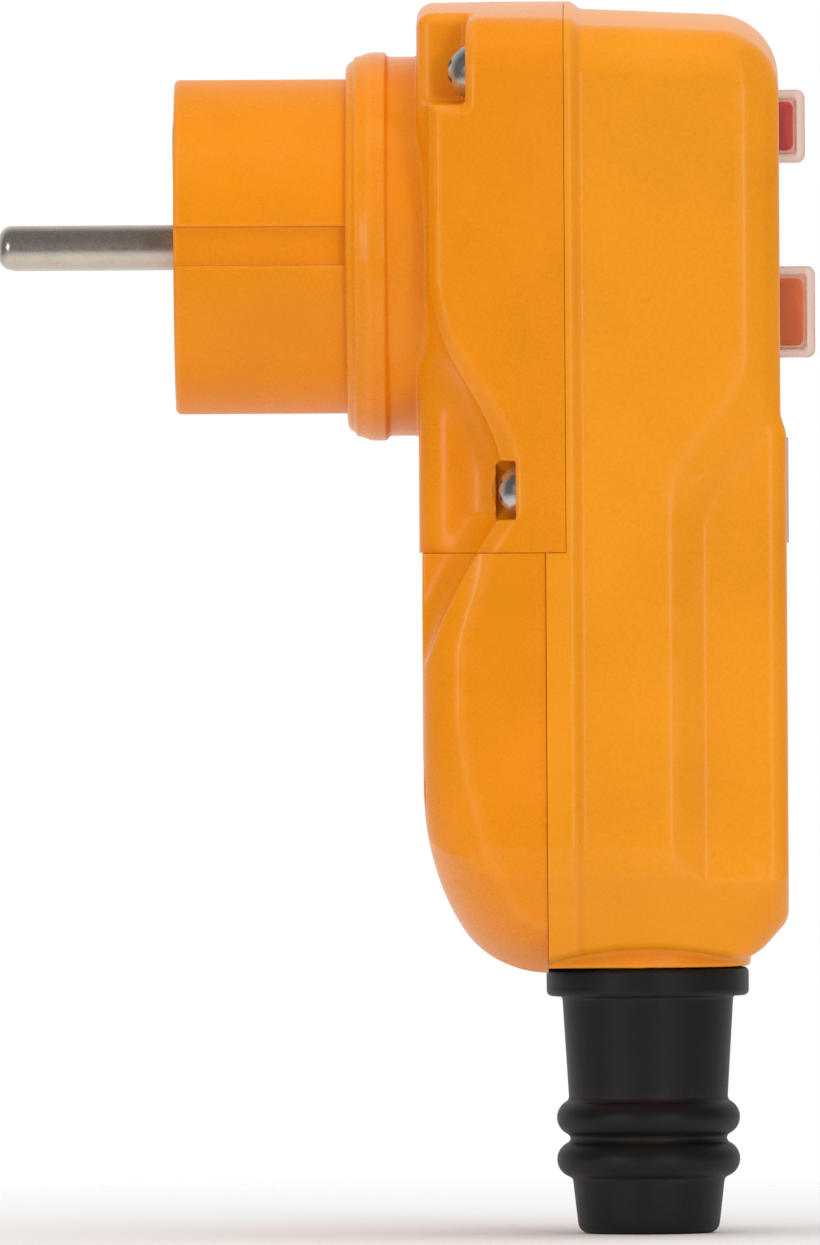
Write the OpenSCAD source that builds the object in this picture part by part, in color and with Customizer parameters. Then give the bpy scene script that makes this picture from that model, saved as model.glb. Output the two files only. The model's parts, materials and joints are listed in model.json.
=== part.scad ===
// Rewirable safety plug with a residual current device in an angled two-part housing.
// The origin is the centre of the plug's contact face. The pins point along -X, the
// buttons face +X, the cable leaves along -Z, and Y runs across the housing.

/* [Plug] */
// Diameter of the line and neutral pins
pin_d = 4.8; // [4:0.1:5.4]
// Length of the pins in front of the contact face
pin_len = 19; // [15:0.5:24]
// Length of the domed tip of a pin
pin_tip = 1.5; // [1:0.1:2]
// Distance between the pin axes
pin_pitch = 19; // [17:0.5:21]
// Diameter of the round plug body
plug_d = 37.4; // [36.4:0.2:38.6]
// Length of the plug body in front of the collar
plug_len = 18.6; // [17.6:0.2:22]
// Thickness of the solid front of the plug body
plug_floor = 16; // [14:0.5:17]
// Wall around the pocket behind that solid front
plug_wall = 3.2; // [2.6:0.1:4]
// Radial width of the lip that holds the plug body in its collar
plug_lip = 0.7; // [0.4:0.1:0.9]
// Width of the guide grooves at the sides
groove_w = 4.2; // [3:0.1:6]
// Depth of the guide grooves
groove_depth = 2.1; // [1:0.1:2.8]
// Width of the slots for the earth tabs
earth_slot_w = 8.6; // [7:0.2:10]
// Depth of the slots for the earth tabs
earth_slot_depth = 3.3; // [2.8:0.1:3.8]
// Thickness of the earth tabs
earth_tab_t = 1; // [0.6:0.1:1.2]
// Height of the earth socket above the pin line
earth_rise = 10; // [9:0.1:10.6]
// Bore of the earth socket
earth_bore = 5; // [4.8:0.1:5.6]
// Depth of that bore in the plastic, in front of its contact tube
earth_depth = 9; // [6:0.5:12]

/* [Collar and neck] */
// Largest diameter of the collar
collar_d = 42.3; // [41.8:0.1:46]
// Diameter of the collar at its front
collar_nose_d = 40.2; // [39.8:0.1:41.6]
// Length of the collar
collar_len = 4.4; // [3.6:0.1:6]
// Length of the collar's tapered part
collar_taper = 3.1; // [1:0.1:3.5]
// Diameter of the neck behind the collar
neck_d = 41.2; // [40.8:0.1:41.7]
// Length of the neck
neck_len = 3.3; // [2.4:0.1:5]

/* [Housing] */
// Width across the rim of the housing
body_w = 54; // [53:0.5:62]
// Height of the top above the plug axis
top_rise = 26.5; // [26:0.25:32]
// Depth of the rear shell, from its rear face to the main seam
rear_depth = 16; // [15.5:0.25:22]
// Depth of the front shell, from the main seam to its upper front face
front_depth = 23.2; // [22:0.2:28]
// Depth from the plug axis down to the split between rear shell and cover
split_drop = 33.3; // [32.5:0.1:37]
// Distance of the cover's seam behind the main seam
cover_step = 2.2; // [1:0.1:3]
// Depth from the plug axis down to the underside of the front shell
bottom_drop = 78.4; // [77.5:0.1:90]
// How far the cover reaches below the front shell
cover_lip = 1.7; // [0.5:0.1:2.5]
// Wall thickness of the shells
wall = 2.2; // [1.8:0.1:2.5]
// Radius of the long edges
edge_r = 5; // [3:0.25:6]
// Step from the rim down to the front shell's sides
rim_step = 0.8; // [0.3:0.1:1.2]
// Width of the front shell's rim beside the main seam
rim_w = 1.2; // [0.6:0.1:3]
// How much narrower each side of the rear shell is at its rear face
rear_draft = 0.8; // [0.2:0.1:1.4]
// Radius of the front shell's top corner
nose_r = 6.5; // [4:0.25:8]
// Fall of the front shell's top towards the front
top_fall = 0.7; // [0:0.1:1.5]
// Step from the upper front face out to the lower one
panel_step = 0.6; // [0.2:0.1:1.5]
// Depth from the plug axis down to that step
panel_drop = 18.2; // [15:0.2:20]
// Height of the slope of that step
panel_ramp = 2.7; // [1:0.1:4]
// Height of the slanted sides at the bottom
hip_h = 11.3; // [8:0.1:12]
// Width of the slanted sides at the bottom
hip_w = 11.2; // [8:0.1:12]
// Height of the slanted toe at the bottom of the front
toe_h = 5.3; // [3:0.1:8]
// Width of the slanted toe
toe_w = 4.6; // [3:0.1:6]

/* [Finger grips] */
// Depth from the plug axis down to where the rear scoop begins
scoop_drop = 3; // [1:0.5:6]
// Height of the scoop's S-shaped edge
scoop_rise = 22; // [18:0.5:24]
// Reach of the scoop ahead of the rear face
scoop_reach = 10.8; // [9:0.1:11.6]
// Width of the rounded edge above the scoop
scoop_edge = 2.1; // [1.5:0.1:3]
// Height over which the scoop fades out on the cover
scoop_fade = 27; // [20:0.5:30]
// Width of the scoop's bevelled edge
scoop_bevel = 1.8; // [1:0.1:2.4]
// Depth of the scoop's bevelled edge
scoop_bevel_depth = 1.6; // [0.8:0.1:2]
// Width of the scoop's steep wall below the bevel
scoop_wall = 0.4; // [0.3:0.1:1]
// Depth from the plug axis down to where the front grip begins
grip_drop = 15; // [12:0.5:18]
// Height of the front grip's curved edge
grip_rise = 11; // [8:0.5:15]
// Reach of the front grip behind the lower front face
grip_reach = 12.6; // [9:0.1:13.5]
// Width of the front grip's sloping band
grip_band = 3.7; // [2:0.1:5]
// Lag of the band's lower edge behind its upper edge, where both curve
grip_lag = 4; // [2:0.5:5]
// Depth of the front grip
grip_depth = 1.8; // [0.8:0.1:2.2]

/* [Housing screws] */
// Distance of the housing screws from the sides
screw_inset = 5; // [4.6:0.1:5.4]
// Distance of the upper screws below the top
screw_top = 7.8; // [7:0.1:8.6]
// Distance of the lower screws above the split
screw_low = 6.75; // [6.2:0.05:7.4]
// Distance from the rear face to the upper screws' seats
upper_seat = 5.4; // [4.5:0.1:8]
// Distance from the rear face to the lower screws' seats
lower_seat = 10.6; // [10:0.1:12]
// Diameter of the screw shanks
screw_d = 3.8; // [3:0.1:4]
// Length of the screws under their heads
screw_len = 20; // [18:0.5:21]
// Diameter of the screw heads
head_d = 5.8; // [5:0.1:6]
// Height of the domed screw heads
head_h = 1.9; // [1.2:0.1:2.4]

/* [Buttons] */
// Height of the reset button above the plug axis
reset_rise = 12.75; // [12:0.25:13.5]
// Depth of the test button below the plug axis
test_drop = 7.4; // [6.6:0.1:8.4]
// Height of the reset button's boot
reset_boot_h = 7.9; // [7:0.1:9]
// Width of the reset button's boot
reset_boot_w = 13; // [10:0.25:15]
// How far the reset button's boot stands out
reset_boot_out = 2.9; // [2.4:0.1:4]
// Height of the test button's boot
test_boot_h = 9.9; // [8.5:0.1:11]
// Width of the test button's boot
test_boot_w = 14; // [11:0.25:16]
// How far the test button's boot stands out
test_boot_out = 3.9; // [3.2:0.1:5]
// Wall thickness of the boots
boot_wall = 0.85; // [0.6:0.05:1.2]
// Room between a button and its boot
boot_gap = 0.4; // [0.3:0.05:0.8]
// Thickness of the flange that clamps a boot
boot_flange = 1.1; // [0.8:0.1:1.6]
// Travel of the reset button
reset_travel = 1.4; // [0.8:0.1:1.8]
// Travel of the test button
test_travel = 2; // [1:0.1:2.6]

/* [Cable sleeve] */
// Diameter of the sleeve's flange
flange_d = 22; // [21:0.2:23]
// Thickness of the sleeve's flange
flange_t = 3.1; // [2:0.1:4.5]
// Diameter of the sleeve under its flange
sleeve_d = 18.6; // [18:0.1:19.4]
// Diameter of the sleeve above its rings
sleeve_waist = 17.1; // [16:0.1:17.8]
// Diameter of the sleeve at its lower end
sleeve_tip = 15.4; // [14:0.1:16]
// Length of the sleeve below the housing
sleeve_len = 29; // [26:0.5:40]
// Diameter over the sleeve's rings
ring_d = 19.9; // [19.2:0.1:20.8]
// Distance from the housing to the first ring
ring_drop = 16.4; // [15:0.1:18]
// Distance between the rings
ring_pitch = 4.55; // [4.2:0.05:5.5]
// Bore of the sleeve for the cable
cable_d = 10; // [7:0.25:11]

/* [Label] */
// Width of the bare plate on the front
label_w = 38; // [24:0.5:40]
// Height of the plate
label_h = 11.4; // [8:0.1:14]
// Thickness of the plate
label_t = 0.25; // [0.15:0.05:0.6]

/* [Mechanism] */
// Thickness of the circuit board
board_t = 1.6; // [1:0.1:2]
// Distance from the main seam to the back of the board
board_set = 1.7; // [1.4:0.1:2.4]
// Outer diameter of the sensor ring
toroid_d = 24; // [20:0.5:25]
// Length of the sensor ring
toroid_len = 8; // [5:0.25:9]
// Bore of the sensor ring
toroid_bore = 12; // [11:0.25:14]
// Diameter of the holding magnet's core
core_d = 5; // [4:0.1:6]
// Diameter of the holding magnet's coil
coil_d = 12; // [10:0.25:13]
// Thickness of the contact carrier
carrier_t = 3; // [2:0.1:3.4]
// Width of the contact carrier
carrier_w = 36; // [34:0.5:37]
// Height of the contact carrier
carrier_h = 8; // [6:0.25:8.4]
// Thickness of the armature on the carrier
armature_t = 1.2; // [0.8:0.1:1.4]
// Thickness of the plate that guides the buttons
guide_t = 1.6; // [1.2:0.1:2]
// Wire of the springs
wire_d = 0.6; // [0.4:0.05:0.7]

/* [Hidden] */
$fn = 64;

// Clearances: a loose fit, a sliding fit, the slack left at a stop, and the overlap of cuts
fit = 0.1;
slide = 0.2;
stop_slack = 0.1;
eps = 0.01;
far = 200;

// Planes across the plug axis, from the contact face to the front
pin_r = pin_d / 2;
plug_r = plug_d / 2;
lip_x = plug_len + collar_len - 0.4;
rear_x = plug_len + collar_len + neck_len;
seam_x = rear_x + rear_depth;
cover_x = seam_x - cover_step;
cover_rear_x = rear_x + 0.4;
front_x = seam_x + front_depth;
panel_x = front_x + panel_step;
rear_in = rear_x + wall;
front_in = front_x - wall;
rim_x = seam_x + rim_w;

// Heights, and half widths of the housing
half_w = body_w / 2;
side_y = half_w - rim_step;
split_z = -split_drop;
bottom_z = -bottom_drop;
cover_z = bottom_z - cover_lip;
front_top = top_rise - rim_step;
hip_z = bottom_z + hip_h;
inner_y = side_y - grip_depth - wall - 0.7;
ledge_y = half_w - rim_step - wall;
rear_inner_y = half_w - screw_inset - head_d / 2 - 2.6;
cover_inner_y = rear_inner_y + 3.5;
waist_y = side_y + 0.2;
flare = 3.5;

// Housing screws
screw_y = half_w - screw_inset;
upper_z = top_rise - screw_top;
lower_z = split_z + screw_low;
boss_r = screw_d / 2 + 1.7;
boss_end = 0.6;
head_room = head_d / 2 + 0.25;
notch_y = screw_y - head_room - 0.1;
notch_z = upper_z - head_room - 0.6;

// Board, guide plate and the button chain between them
board_back = seam_x + board_set;
board_front = board_back + board_t;
guide_front = front_in - boot_flange;
guide_back = guide_front - guide_t;
flange_t_button = 1;
button_back = guide_back - fit - flange_t_button;
reset_stem = 0.8;
carrier_front = button_back - reset_stem - stop_slack;
carrier_back = carrier_front - carrier_t;
armature_back = carrier_back - armature_t;
core_end = armature_back - reset_travel - stop_slack;
contact_t = 1.1;
contact_r = 1.3;
bridge_t = 0.6;
fixed_tip = carrier_back - contact_t - reset_travel - stop_slack;
contact_y = carrier_w / 2 - 3;
contact_gap = 3.4;
spring_y = coil_d / 2 + 4;
switch_h = 4.4;
switch_top = board_front + switch_h;
test_stem_r = 2;
test_stem_in = 0.6;
test_z = -test_drop;
label_z = -panel_drop - panel_ramp - label_h / 2 - 0.1;

// Cable parts
sleeve_x = cover_x + flange_d / 2 - 0.3;
sleeve_neck_r = sleeve_d / 2 - 0.3;
floor_t = 3.3;
cable_r = cable_d / 2;
clamp_z = bottom_z + 14.4;
clamp_h = 7;
clamp_screw_y = cable_r + 5.5;
block_z = split_z - 14.7;
block_h = 12;
block_back = cover_x + 2.9;
block_t = 11;
cage = 7;
cage_x = block_back + 2;
terminal_pitch = 12;
spigot_r = 1.5;
spigot_len = 3;
small_d = 3;
small_head_d = 5.4;
small_head_h = 1.5;
small_boss_r = 3.4;
hole_end = 1;
guide_screw_d = 2;
cover_seat = 5.3;
cover_screw_len = cover_step + 18;
clamp_back = sleeve_x - 7.3;
clamp_front = sleeve_x - 2.3;
clamp_screw_len = 13;
cover_screw_y = half_w - 9.5;
cover_screw_z = block_z - 10.2;

// Shapes used by several pieces

// An outline of X and Z, swept across the housing
module across(half) rotate([90, 0, 0]) linear_extrude(2 * half, center = true) children();

// An outline of Y and Z, swept from x0 to x1
module along(x0, x1) translate([x0, 0, 0]) rotate([90, 0, 90]) linear_extrude(x1 - x0) children();

// An outline of X and Y, swept from z0 to z1
module upright(z0, z1) translate([0, 0, z0]) linear_extrude(z1 - z0) children();

// A profile of radius and X, turned about the plug axis
module turned() rotate([0, 90, 0]) rotate_extrude() children();

// A round bar along X
module bar_x(x0, x1, r, y = 0, z = 0) translate([x0, y, z]) rotate([0, 90, 0]) cylinder(h = x1 - x0, r = r);

// A box between two corners
module box(a, b) translate(a) cube(b - a);

module both_sides() {
  children();
  mirror([0, 1, 0]) children();
}

// A rectangle about the origin with round corners
module round_plate(w, h, r) {
  square([w - 2 * r, h], center = true);
  square([w, h - 2 * r], center = true);
  for (a = [-1, 1], b = [-1, 1]) translate([a * (w / 2 - r), b * (h / 2 - r)]) circle(r);
}

// A round-cornered pad along X, centred on a height
module pad(x0, x1, w, h, r, z) along(x0, x1) translate([0, z]) round_plate(w, h, r);

// The housing's Y and Z outline: round at the top, slanted in at the bottom
module arch(half, top, bottom, r) {
  slant_z = bottom_z + hip_h;
  low = min(hip_w * (slant_z - bottom) / hip_h, half - 2);
  foot = bottom < slant_z ? [[half - low, bottom], [low - half, bottom], [-half, slant_z]]
    : [[half, bottom], [-half, bottom]];
  knee = bottom < slant_z ? [[half, slant_z]] : [];
  polygon(concat([[-half, top - r], [half, top - r]], knee, foot));
  translate([r - half, top - r - eps]) square([2 * (half - r), r + eps]);
  for (s = [-1, 1]) translate([s * (half - r), top - r]) circle(r);
}

// A closed solid through rings of points, all rings with as many points
module loft(rings) {
  n = len(rings[0]);
  last = len(rings) - 1;
  sides = [for (i = [0:last - 1], j = [0:n - 1]) let (k = (j + 1) % n)
    each [[i * n + j, (i + 1) * n + k, i * n + k], [i * n + j, (i + 1) * n + j, (i + 1) * n + k]]];
  caps = [[for (j = [0:n - 1]) j], [for (j = [n - 1:-1:0]) last * n + j]];
  polyhedron(points = [for (r = rings) each r], faces = concat(sides, caps));
}

// A coil spring along X as one tube, its end turns resting on x0 and x1
module coil_spring(x0, x1, r, turns, y, z) {
  sides = 6;
  steps = turns * 8;
  loft([for (i = [0:steps]) let (
      a = 360 * i / 8, x = x0 + wire_d / 2 + (x1 - x0 - wire_d) * i / steps)
    [for (j = [0:sides - 1]) let (b = 360 * j / sides, w = r + wire_d / 2 * cos(b))
      [x - wire_d / 2 * sin(b), y + w * cos(a), z + w * sin(a)]]]);
}

// A bent strip in the X and Z plane through a few corners, thickness t
module strip(points, t) {
  n = len(points);
  for (i = [0:n - 2]) let (
      a = points[i], b = points[i + 1], d = (b - a) / norm(b - a), s = [-d[1], d[0]] * t / 2,
      p = a - d * (i == 0 ? 0 : t / 2), q = b + d * (i == n - 2 ? 0 : t / 2))
    polygon([p + s, q + s, q - s, p - s]);
}

function ease(t) = t <= 0 ? 0 : t >= 1 ? 1 : t * t * (3 - 2 * t);
function mix(a, b, t) = a + (b - a) * t;

// The scoop's edge: an S-curve down to its widest, then a curve that fades out on the cover
scoop_wide = -scoop_drop - scoop_rise;
function scoop_edge_x(z) = z > scoop_wide
  ? rear_x + mix(scoop_edge, scoop_reach, ease((-scoop_drop - z) / scoop_rise))
  : rear_x + mix(0.6, scoop_reach, pow(min(1, max(0, 1 - (scoop_wide - 4 - z) / scoop_fade)), 1.8));

// One level of the scoop's cutter: outside the housing, down the bevel and the steep wall, along the floor
scoop_floor_y = rear_inner_y + wall + fit;
function scoop_ring(z) = let (
    x = scoop_edge_x(z), out = 1.5, wall_x = x - scoop_bevel, foot_x = wall_x - scoop_wall,
    rear = rear_x - scoop_bevel - scoop_wall - 1, rise = scoop_bevel_depth / scoop_bevel)
  [[x + out, side_y + out * rise, z], [x + out, half_w + 3, z], [rear, half_w + 3, z],
   [rear, scoop_floor_y, z], [foot_x, scoop_floor_y, z], [wall_x, side_y - scoop_bevel_depth, z]];

module scoop() {
  z0 = scoop_wide - 4 - scoop_fade;
  steps = 30;
  loft([for (i = [0:steps]) scoop_ring(mix(z0, notch_z + 1, i / steps))]);
}

// The front grip's edge, and one level of its cutter, which also runs up the front corner
function grip_edge_x(z) = panel_x - mix(edge_r + 0.4, grip_reach, ease((-grip_drop - z) / grip_rise));
function grip_ring(z) = let (
    x = grip_edge_x(z), floor_x = grip_edge_x(z + grip_lag) + grip_band, out = 1,
    rise = grip_depth / (floor_x - x))
  [[x - out, side_y + out * rise, z], [floor_x, side_y - grip_depth, z],
   [panel_x + 3, side_y - grip_depth, z], [panel_x + 3, half_w + 3, z], [x - out, half_w + 3, z]];

module grip() {
  top = -grip_drop + 3;
  low = -grip_drop - grip_rise - grip_lag;
  steps = 18;
  loft(concat([grip_ring(bottom_z - 3)], [for (i = [0:steps]) grip_ring(mix(low, top, i / steps))],
    [grip_ring(top_rise + 1)]));
}

// Where the housing screws sit
module at_screws() both_sides() {
  for (s = [[rear_x + upper_seat, upper_z], [rear_x + lower_seat, lower_z]])
    translate([s[0], screw_y, s[1]]) children();
}

// A domed screw whose seat is the origin, pointing along +X
module dome_screw(d, len, hd, hh) {
  dome = (hd * hd / 4 + hh * hh) / (2 * hh);
  difference() {
    union() {
      bar_x(0, len, d / 2);
      turned() intersection() {
        translate([0, dome - hh]) circle(dome);
        translate([0, -hh]) square([hd / 2, hh]);
      }
    }
    for (a = [45, 135]) rotate([a, 0, 0]) box([-hh - 1, -hd * 0.28, -0.35], [-hh * 0.3, hd * 0.28, 0.35]);
  }
}

// Housing

// Rear shell with the collar and neck that carry the plug body
module rear_shell() color("orange") difference() {
  union() {
    difference() {
      intersection() {
        along(rear_x, seam_x) arch(half_w, top_rise, split_z, edge_r);
        upright(split_z - 1, top_rise + 1) rear_plan();
      }
      both_sides() scoop();
    }
    turned() polygon([
      [0, plug_len], [collar_nose_d / 2, plug_len], [collar_d / 2 - 0.05, plug_len + collar_taper],
      [collar_d / 2, plug_len + collar_len], [neck_d / 2, plug_len + collar_len], [neck_d / 2, rear_x + 1],
      [0, rear_x + 1]]);
    rear_posts();
  }
  bar_x(plug_len - 1, rear_in + eps, plug_r + fit);
  bar_x(lip_x - fit, rear_in + eps, plug_r + plug_lip + fit);
  rear_cavity();
  both_sides() {
    box([rear_x - 1, notch_y, notch_z], [rear_x + upper_seat, half_w + 1, top_rise + 1]);
    bar_x(rear_x - 1, rear_x + lower_seat, head_room, screw_y, lower_z);
    box([rear_x - 1, screw_y, lower_z - head_room], [rear_x + lower_seat, half_w + 1, lower_z + head_room]);
  }
  at_screws() bar_x(-1, rear_depth, screw_d / 2 + fit);
}

// Plan of the rear shell: narrower at the rear, flared out to the rim at the seam
module rear_plan() {
  half = [[rear_x, side_y - rear_draft], [rear_x + 3, side_y - rear_draft / 2], [seam_x - flare, waist_y],
    [seam_x, half_w]];
  polygon(concat(half, [for (i = [len(half) - 1:-1:0]) [half[i][0], -half[i][1]]]));
}

// Hollow of the rear shell, wider between the screws
module rear_cavity() difference() {
  union() {
    box([rear_in, -rear_inner_y, split_z + wall], [seam_x + 1, rear_inner_y, top_rise - wall]);
    box([seam_x - 5.3, -ledge_y, lower_z + boss_r + 5], [seam_x + 1, ledge_y, upper_z - boss_r - 3]);
  }
  rear_posts();
}

// Studs that hold the pin retainer, and posts that hold the board
module rear_posts() {
  for (a = [-1, 1], b = [-1, 1]) {
    translate([0, a * stud_y, b * stud_z]) {
      bar_x(rear_in - 1, retainer_x + retainer_t, stud_r);
      bar_x(retainer_x + retainer_t, retainer_x + retainer_t + stud_head, stud_r + stud_head);
    }
    bar_x(seam_x - 6, board_back, 1.8, a * (ledge_y - 4), b * 9 - 2);
  }
}

// Front shell with the button windows, the cable opening and the inner supports
module front_shell() color("darkorange") difference() {
  union() {
    difference() {
      union() {
        intersection() {
          along(cover_x, panel_x) arch(side_y, front_top, bottom_z, edge_r);
          across(far) front_side();
          upright(bottom_z - 1, top_rise + 1) front_plan();
        }
        along(seam_x, rim_x) arch(half_w, top_rise, bottom_z, edge_r);
        intersection() {
          along(cover_x, rim_x) arch(half_w, top_rise, bottom_z, edge_r);
          box([cover_x, -far, -far], [far, far, split_z]);
        }
      }
      front_cavity();
    }
    front_supports();
  }
  both_sides() grip();
  pad(front_in - 1, panel_x + 1, reset_boot_w + 2 * fit, reset_boot_h + 2 * fit, 1.6, reset_rise);
  pad(front_in - 1, panel_x + 1, test_boot_w + 2 * fit, test_boot_h + 2 * fit, 1.6, test_z);
  at_screws() bar_x(0, screw_len + boss_end / 2, screw_d / 2 + fit);
  at_guide_screws() bar_x(0, 2.4, guide_screw_d / 2 + fit);
  both_sides() {
    bar_x(cover_x - 1, cover_rear_x + cover_seat + cover_screw_len + hole_end, small_d / 2 + fit,
      cover_screw_y, cover_screw_z);
    bar_x(cover_x, clamp_back + clamp_screw_len + hole_end, small_d / 2 + fit, clamp_screw_y, clamp_z);
  }
  translate([0, 0, bottom_z - 1]) cylinder_at_sleeve(sleeve_neck_r + fit, floor_t + 2);
  box([cover_x - 1, -sleeve_neck_r - fit, bottom_z - 1],
    [sleeve_x, sleeve_neck_r + fit, bottom_z + floor_t + 1]);
  seal_ring(seam_x - eps, seam_x + seal_t + fit, fit);
  cover_seal_path(cover_x - eps, cover_x + seal_t + fit, fit);
}

// Side outline of the front shell
module front_side() {
  nose_z = front_top - top_fall - nose_r;
  polygon([
    [seam_x, front_top], [front_x - nose_r, front_top - top_fall], [front_x - nose_r, nose_z],
    [front_x, nose_z], [front_x, -panel_drop], [panel_x, -panel_drop - panel_ramp],
    [panel_x, bottom_z + toe_h],
    [panel_x - toe_w, bottom_z], [cover_x, bottom_z], [cover_x, split_z], [seam_x, split_z]]);
  translate([front_x - nose_r, nose_z]) circle(nose_r);
}

// Plan of the front shell, with round front corners
module front_plan() {
  translate([cover_x - 1, -side_y]) square([panel_x - edge_r - cover_x + 1, 2 * side_y]);
  translate([cover_x - 1, edge_r - side_y]) square([panel_x - cover_x + 1, 2 * (side_y - edge_r)]);
  for (s = [-1, 1]) translate([panel_x - edge_r, s * (side_y - edge_r)]) circle(edge_r);
}

// Hollow of the front shell: wide beside the seam, narrower past the board's ledge
module front_cavity() {
  box([cover_x - 1, -ledge_y, hip_z + 1], [board_front, ledge_y, front_top - wall - 0.2]);
  box([cover_x - 1, -inner_y, hip_z - 3], [front_in, inner_y, front_top - top_fall - wall]);
  box([cover_x - 1, -flange_d / 2 - slide, bottom_z + floor_t], [sleeve_x, flange_d / 2 + slide, hip_z + 1]);
  translate([0, 0, bottom_z + floor_t]) cylinder_at_sleeve(flange_d / 2 + slide, hip_h - floor_t + 1);
}

// Bosses, ribs and posts inside the front shell
module front_supports() {
  box([cover_x, -half_w + 1, split_z - wall], [seam_x, half_w - 1, split_z]);
  box([seam_x, -half_w + 1, split_z - wall], [rim_x, half_w - 1, split_z + wall]);
  both_sides() {
    for (s = [[upper_seat, upper_z], [lower_seat, lower_z]])
      bar_x(seam_x, rear_x + s[0] + screw_len + boss_end, boss_r, screw_y, s[1]);
    bar_x(cover_x, front_in + 0.5, small_boss_r, cover_screw_y, cover_screw_z);
    bar_x(clamp_front, front_in + 0.5, 3, clamp_screw_y, clamp_z);
    bar_x(block_back + block_t, front_in + 0.5, 3.5, terminal_pitch / 2, block_z);
    bar_x(block_back + block_t - spigot_len, front_in, spigot_r, terminal_pitch / 2, block_z);
  }
  at_guide_screws() bar_x(0, boot_flange + 0.5, 2.6);
  difference() {
    box([sleeve_x + 1, -cable_r - 2, clamp_z - clamp_h / 2],
      [front_in + 0.5, cable_r + 2, clamp_z + clamp_h / 2]);
    translate([0, 0, clamp_z - clamp_h]) cylinder_at_sleeve(cable_r + slide, 2 * clamp_h);
  }
}

module cylinder_at_sleeve(r, h) translate([sleeve_x, 0, 0]) cylinder(h = h, r = r);

// Cover over the terminals, with the lower end of the finger scoops
module terminal_cover() color("orange") difference() {
  union() {
    difference() {
      intersection() {
        along(cover_rear_x, cover_x) arch(half_w, top_rise, cover_z, edge_r);
        across(far) cover_side(0);
        upright(cover_z - 1, split_z) cover_plan();
      }
      cover_room();
    }
    both_sides() bar_x(cover_rear_x + 3, cover_x, small_boss_r, cover_screw_y, cover_screw_z);
    box([cover_x - 3, -sleeve_neck_r, bottom_z + fit],
      [sleeve_x - 6, sleeve_neck_r, bottom_z + floor_t - fit]);
  }
  both_sides() {
    scoop();
    bar_x(cover_rear_x - 1, cover_rear_x + cover_seat, small_head_d / 2 + 0.4, cover_screw_y, cover_screw_z);
    bar_x(cover_rear_x, cover_x + 1, small_d / 2 + fit, cover_screw_y, cover_screw_z);
  }
  translate([0, 0, cover_z - 1]) cylinder_at_sleeve(sleeve_neck_r + fit, far);
  translate([0, 0, bottom_z - far]) cylinder_at_sleeve(flange_d / 2 + 0.15, far + eps);
}

// Hollow of the cover: its rear corners stay clear of the scoops and its foot follows the hips
module cover_room() intersection() {
  back = cover_rear_x + wall;
  corner = scoop_reach * 0.6;
  upright(cover_z, split_z - wall) polygon([
    [cover_x + 1, cover_inner_y], [back + corner, cover_inner_y], [back, cover_inner_y - corner],
    [back, corner - cover_inner_y], [back + corner, -cover_inner_y], [cover_x + 1, -cover_inner_y]]);
  across(far) cover_side(wall + 0.3);
  along(back, cover_x + 1) arch(half_w - 1.5 * wall, top_rise, cover_z, edge_r);
}

// Side outline of the cover: straight at the rear, an elliptic sweep under it, drawn in by inset
cover_sweep = 22;
module cover_side(inset) {
  deep = cover_x - cover_rear_x - inset;
  steps = 14;
  polygon(concat(
    [[cover_x + 1, split_z], [cover_rear_x + inset, split_z]],
    [for (i = [0:steps]) let (a = 90 * i / steps)
      [cover_x - deep * cos(a), cover_z + cover_sweep - (cover_sweep - inset) * sin(a)]],
    [[cover_x + 1, cover_z + inset]]));
}

// Plan of the cover, with round rear corners
module cover_plan() {
  round_x = cover_rear_x + edge_r;
  polygon([
    [cover_x, half_w], [seam_x - flare, waist_y], [round_x, waist_y], [round_x, -waist_y],
    [seam_x - flare, -waist_y], [cover_x, -half_w]]);
  translate([cover_rear_x, edge_r - waist_y]) square([edge_r + eps, 2 * (waist_y - edge_r)]);
  for (s = [-1, 1]) translate([round_x, s * (waist_y - edge_r)]) circle(edge_r);
}

// Seals

seal_w = 1;
seal_t = 1;
seal_y = half_w - 1.5;

// A closed rectangular seal in the main seam, widened by c for its groove
module seal_ring(x0, x1, c) {
  high = top_rise - 1.3;
  low = split_z + 0.6;
  along(x0, x1) translate([0, (high + low) / 2]) difference() {
    round_plate(2 * seal_y + 2 * c, high - low + 2 * c, 3.6);
    round_plate(2 * (seal_y - seal_w - c), high - low - 2 * (seal_w + c), 2.6);
  }
}

// A seal along the top and both sides of the cover's seam, widened by c for its groove
module cover_seal_path(x0, x1, c) {
  high = split_z - 0.6;
  low = hip_z + 2;
  inner = seal_y - seal_w;
  along(x0, x1) difference() {
    translate([-seal_y - c, low - c]) square([2 * (seal_y + c), high - low + 2 * c]);
    translate([c - inner, low - 2]) square([2 * (inner - c), high - low + 2 - seal_w - c]);
  }
}

module housing_seal() color("dimgray") seal_ring(seam_x, seam_x + seal_t, 0);

module cover_seal() color("dimgray") cover_seal_path(cover_x, cover_x + seal_t, 0);

// Plug

retainer_x = rear_in;
retainer_t = 1.6;
stud_r = 1.5;
stud_head = 0.8;
stud_y = rear_inner_y - 4;
stud_ring_r = plug_r + plug_lip + fit + stud_r + stud_head;
stud_z = sqrt(max(1, stud_ring_r * stud_ring_r - stud_y * stud_y));
retainer_h = 2 * max(stud_z + stud_r + 1, plug_r + plug_lip + 0.6);
pocket_r = plug_r - plug_wall;
pin_room = 0.05;
shank_r = pin_r - 0.3;
shank_relief = 0.3;

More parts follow.
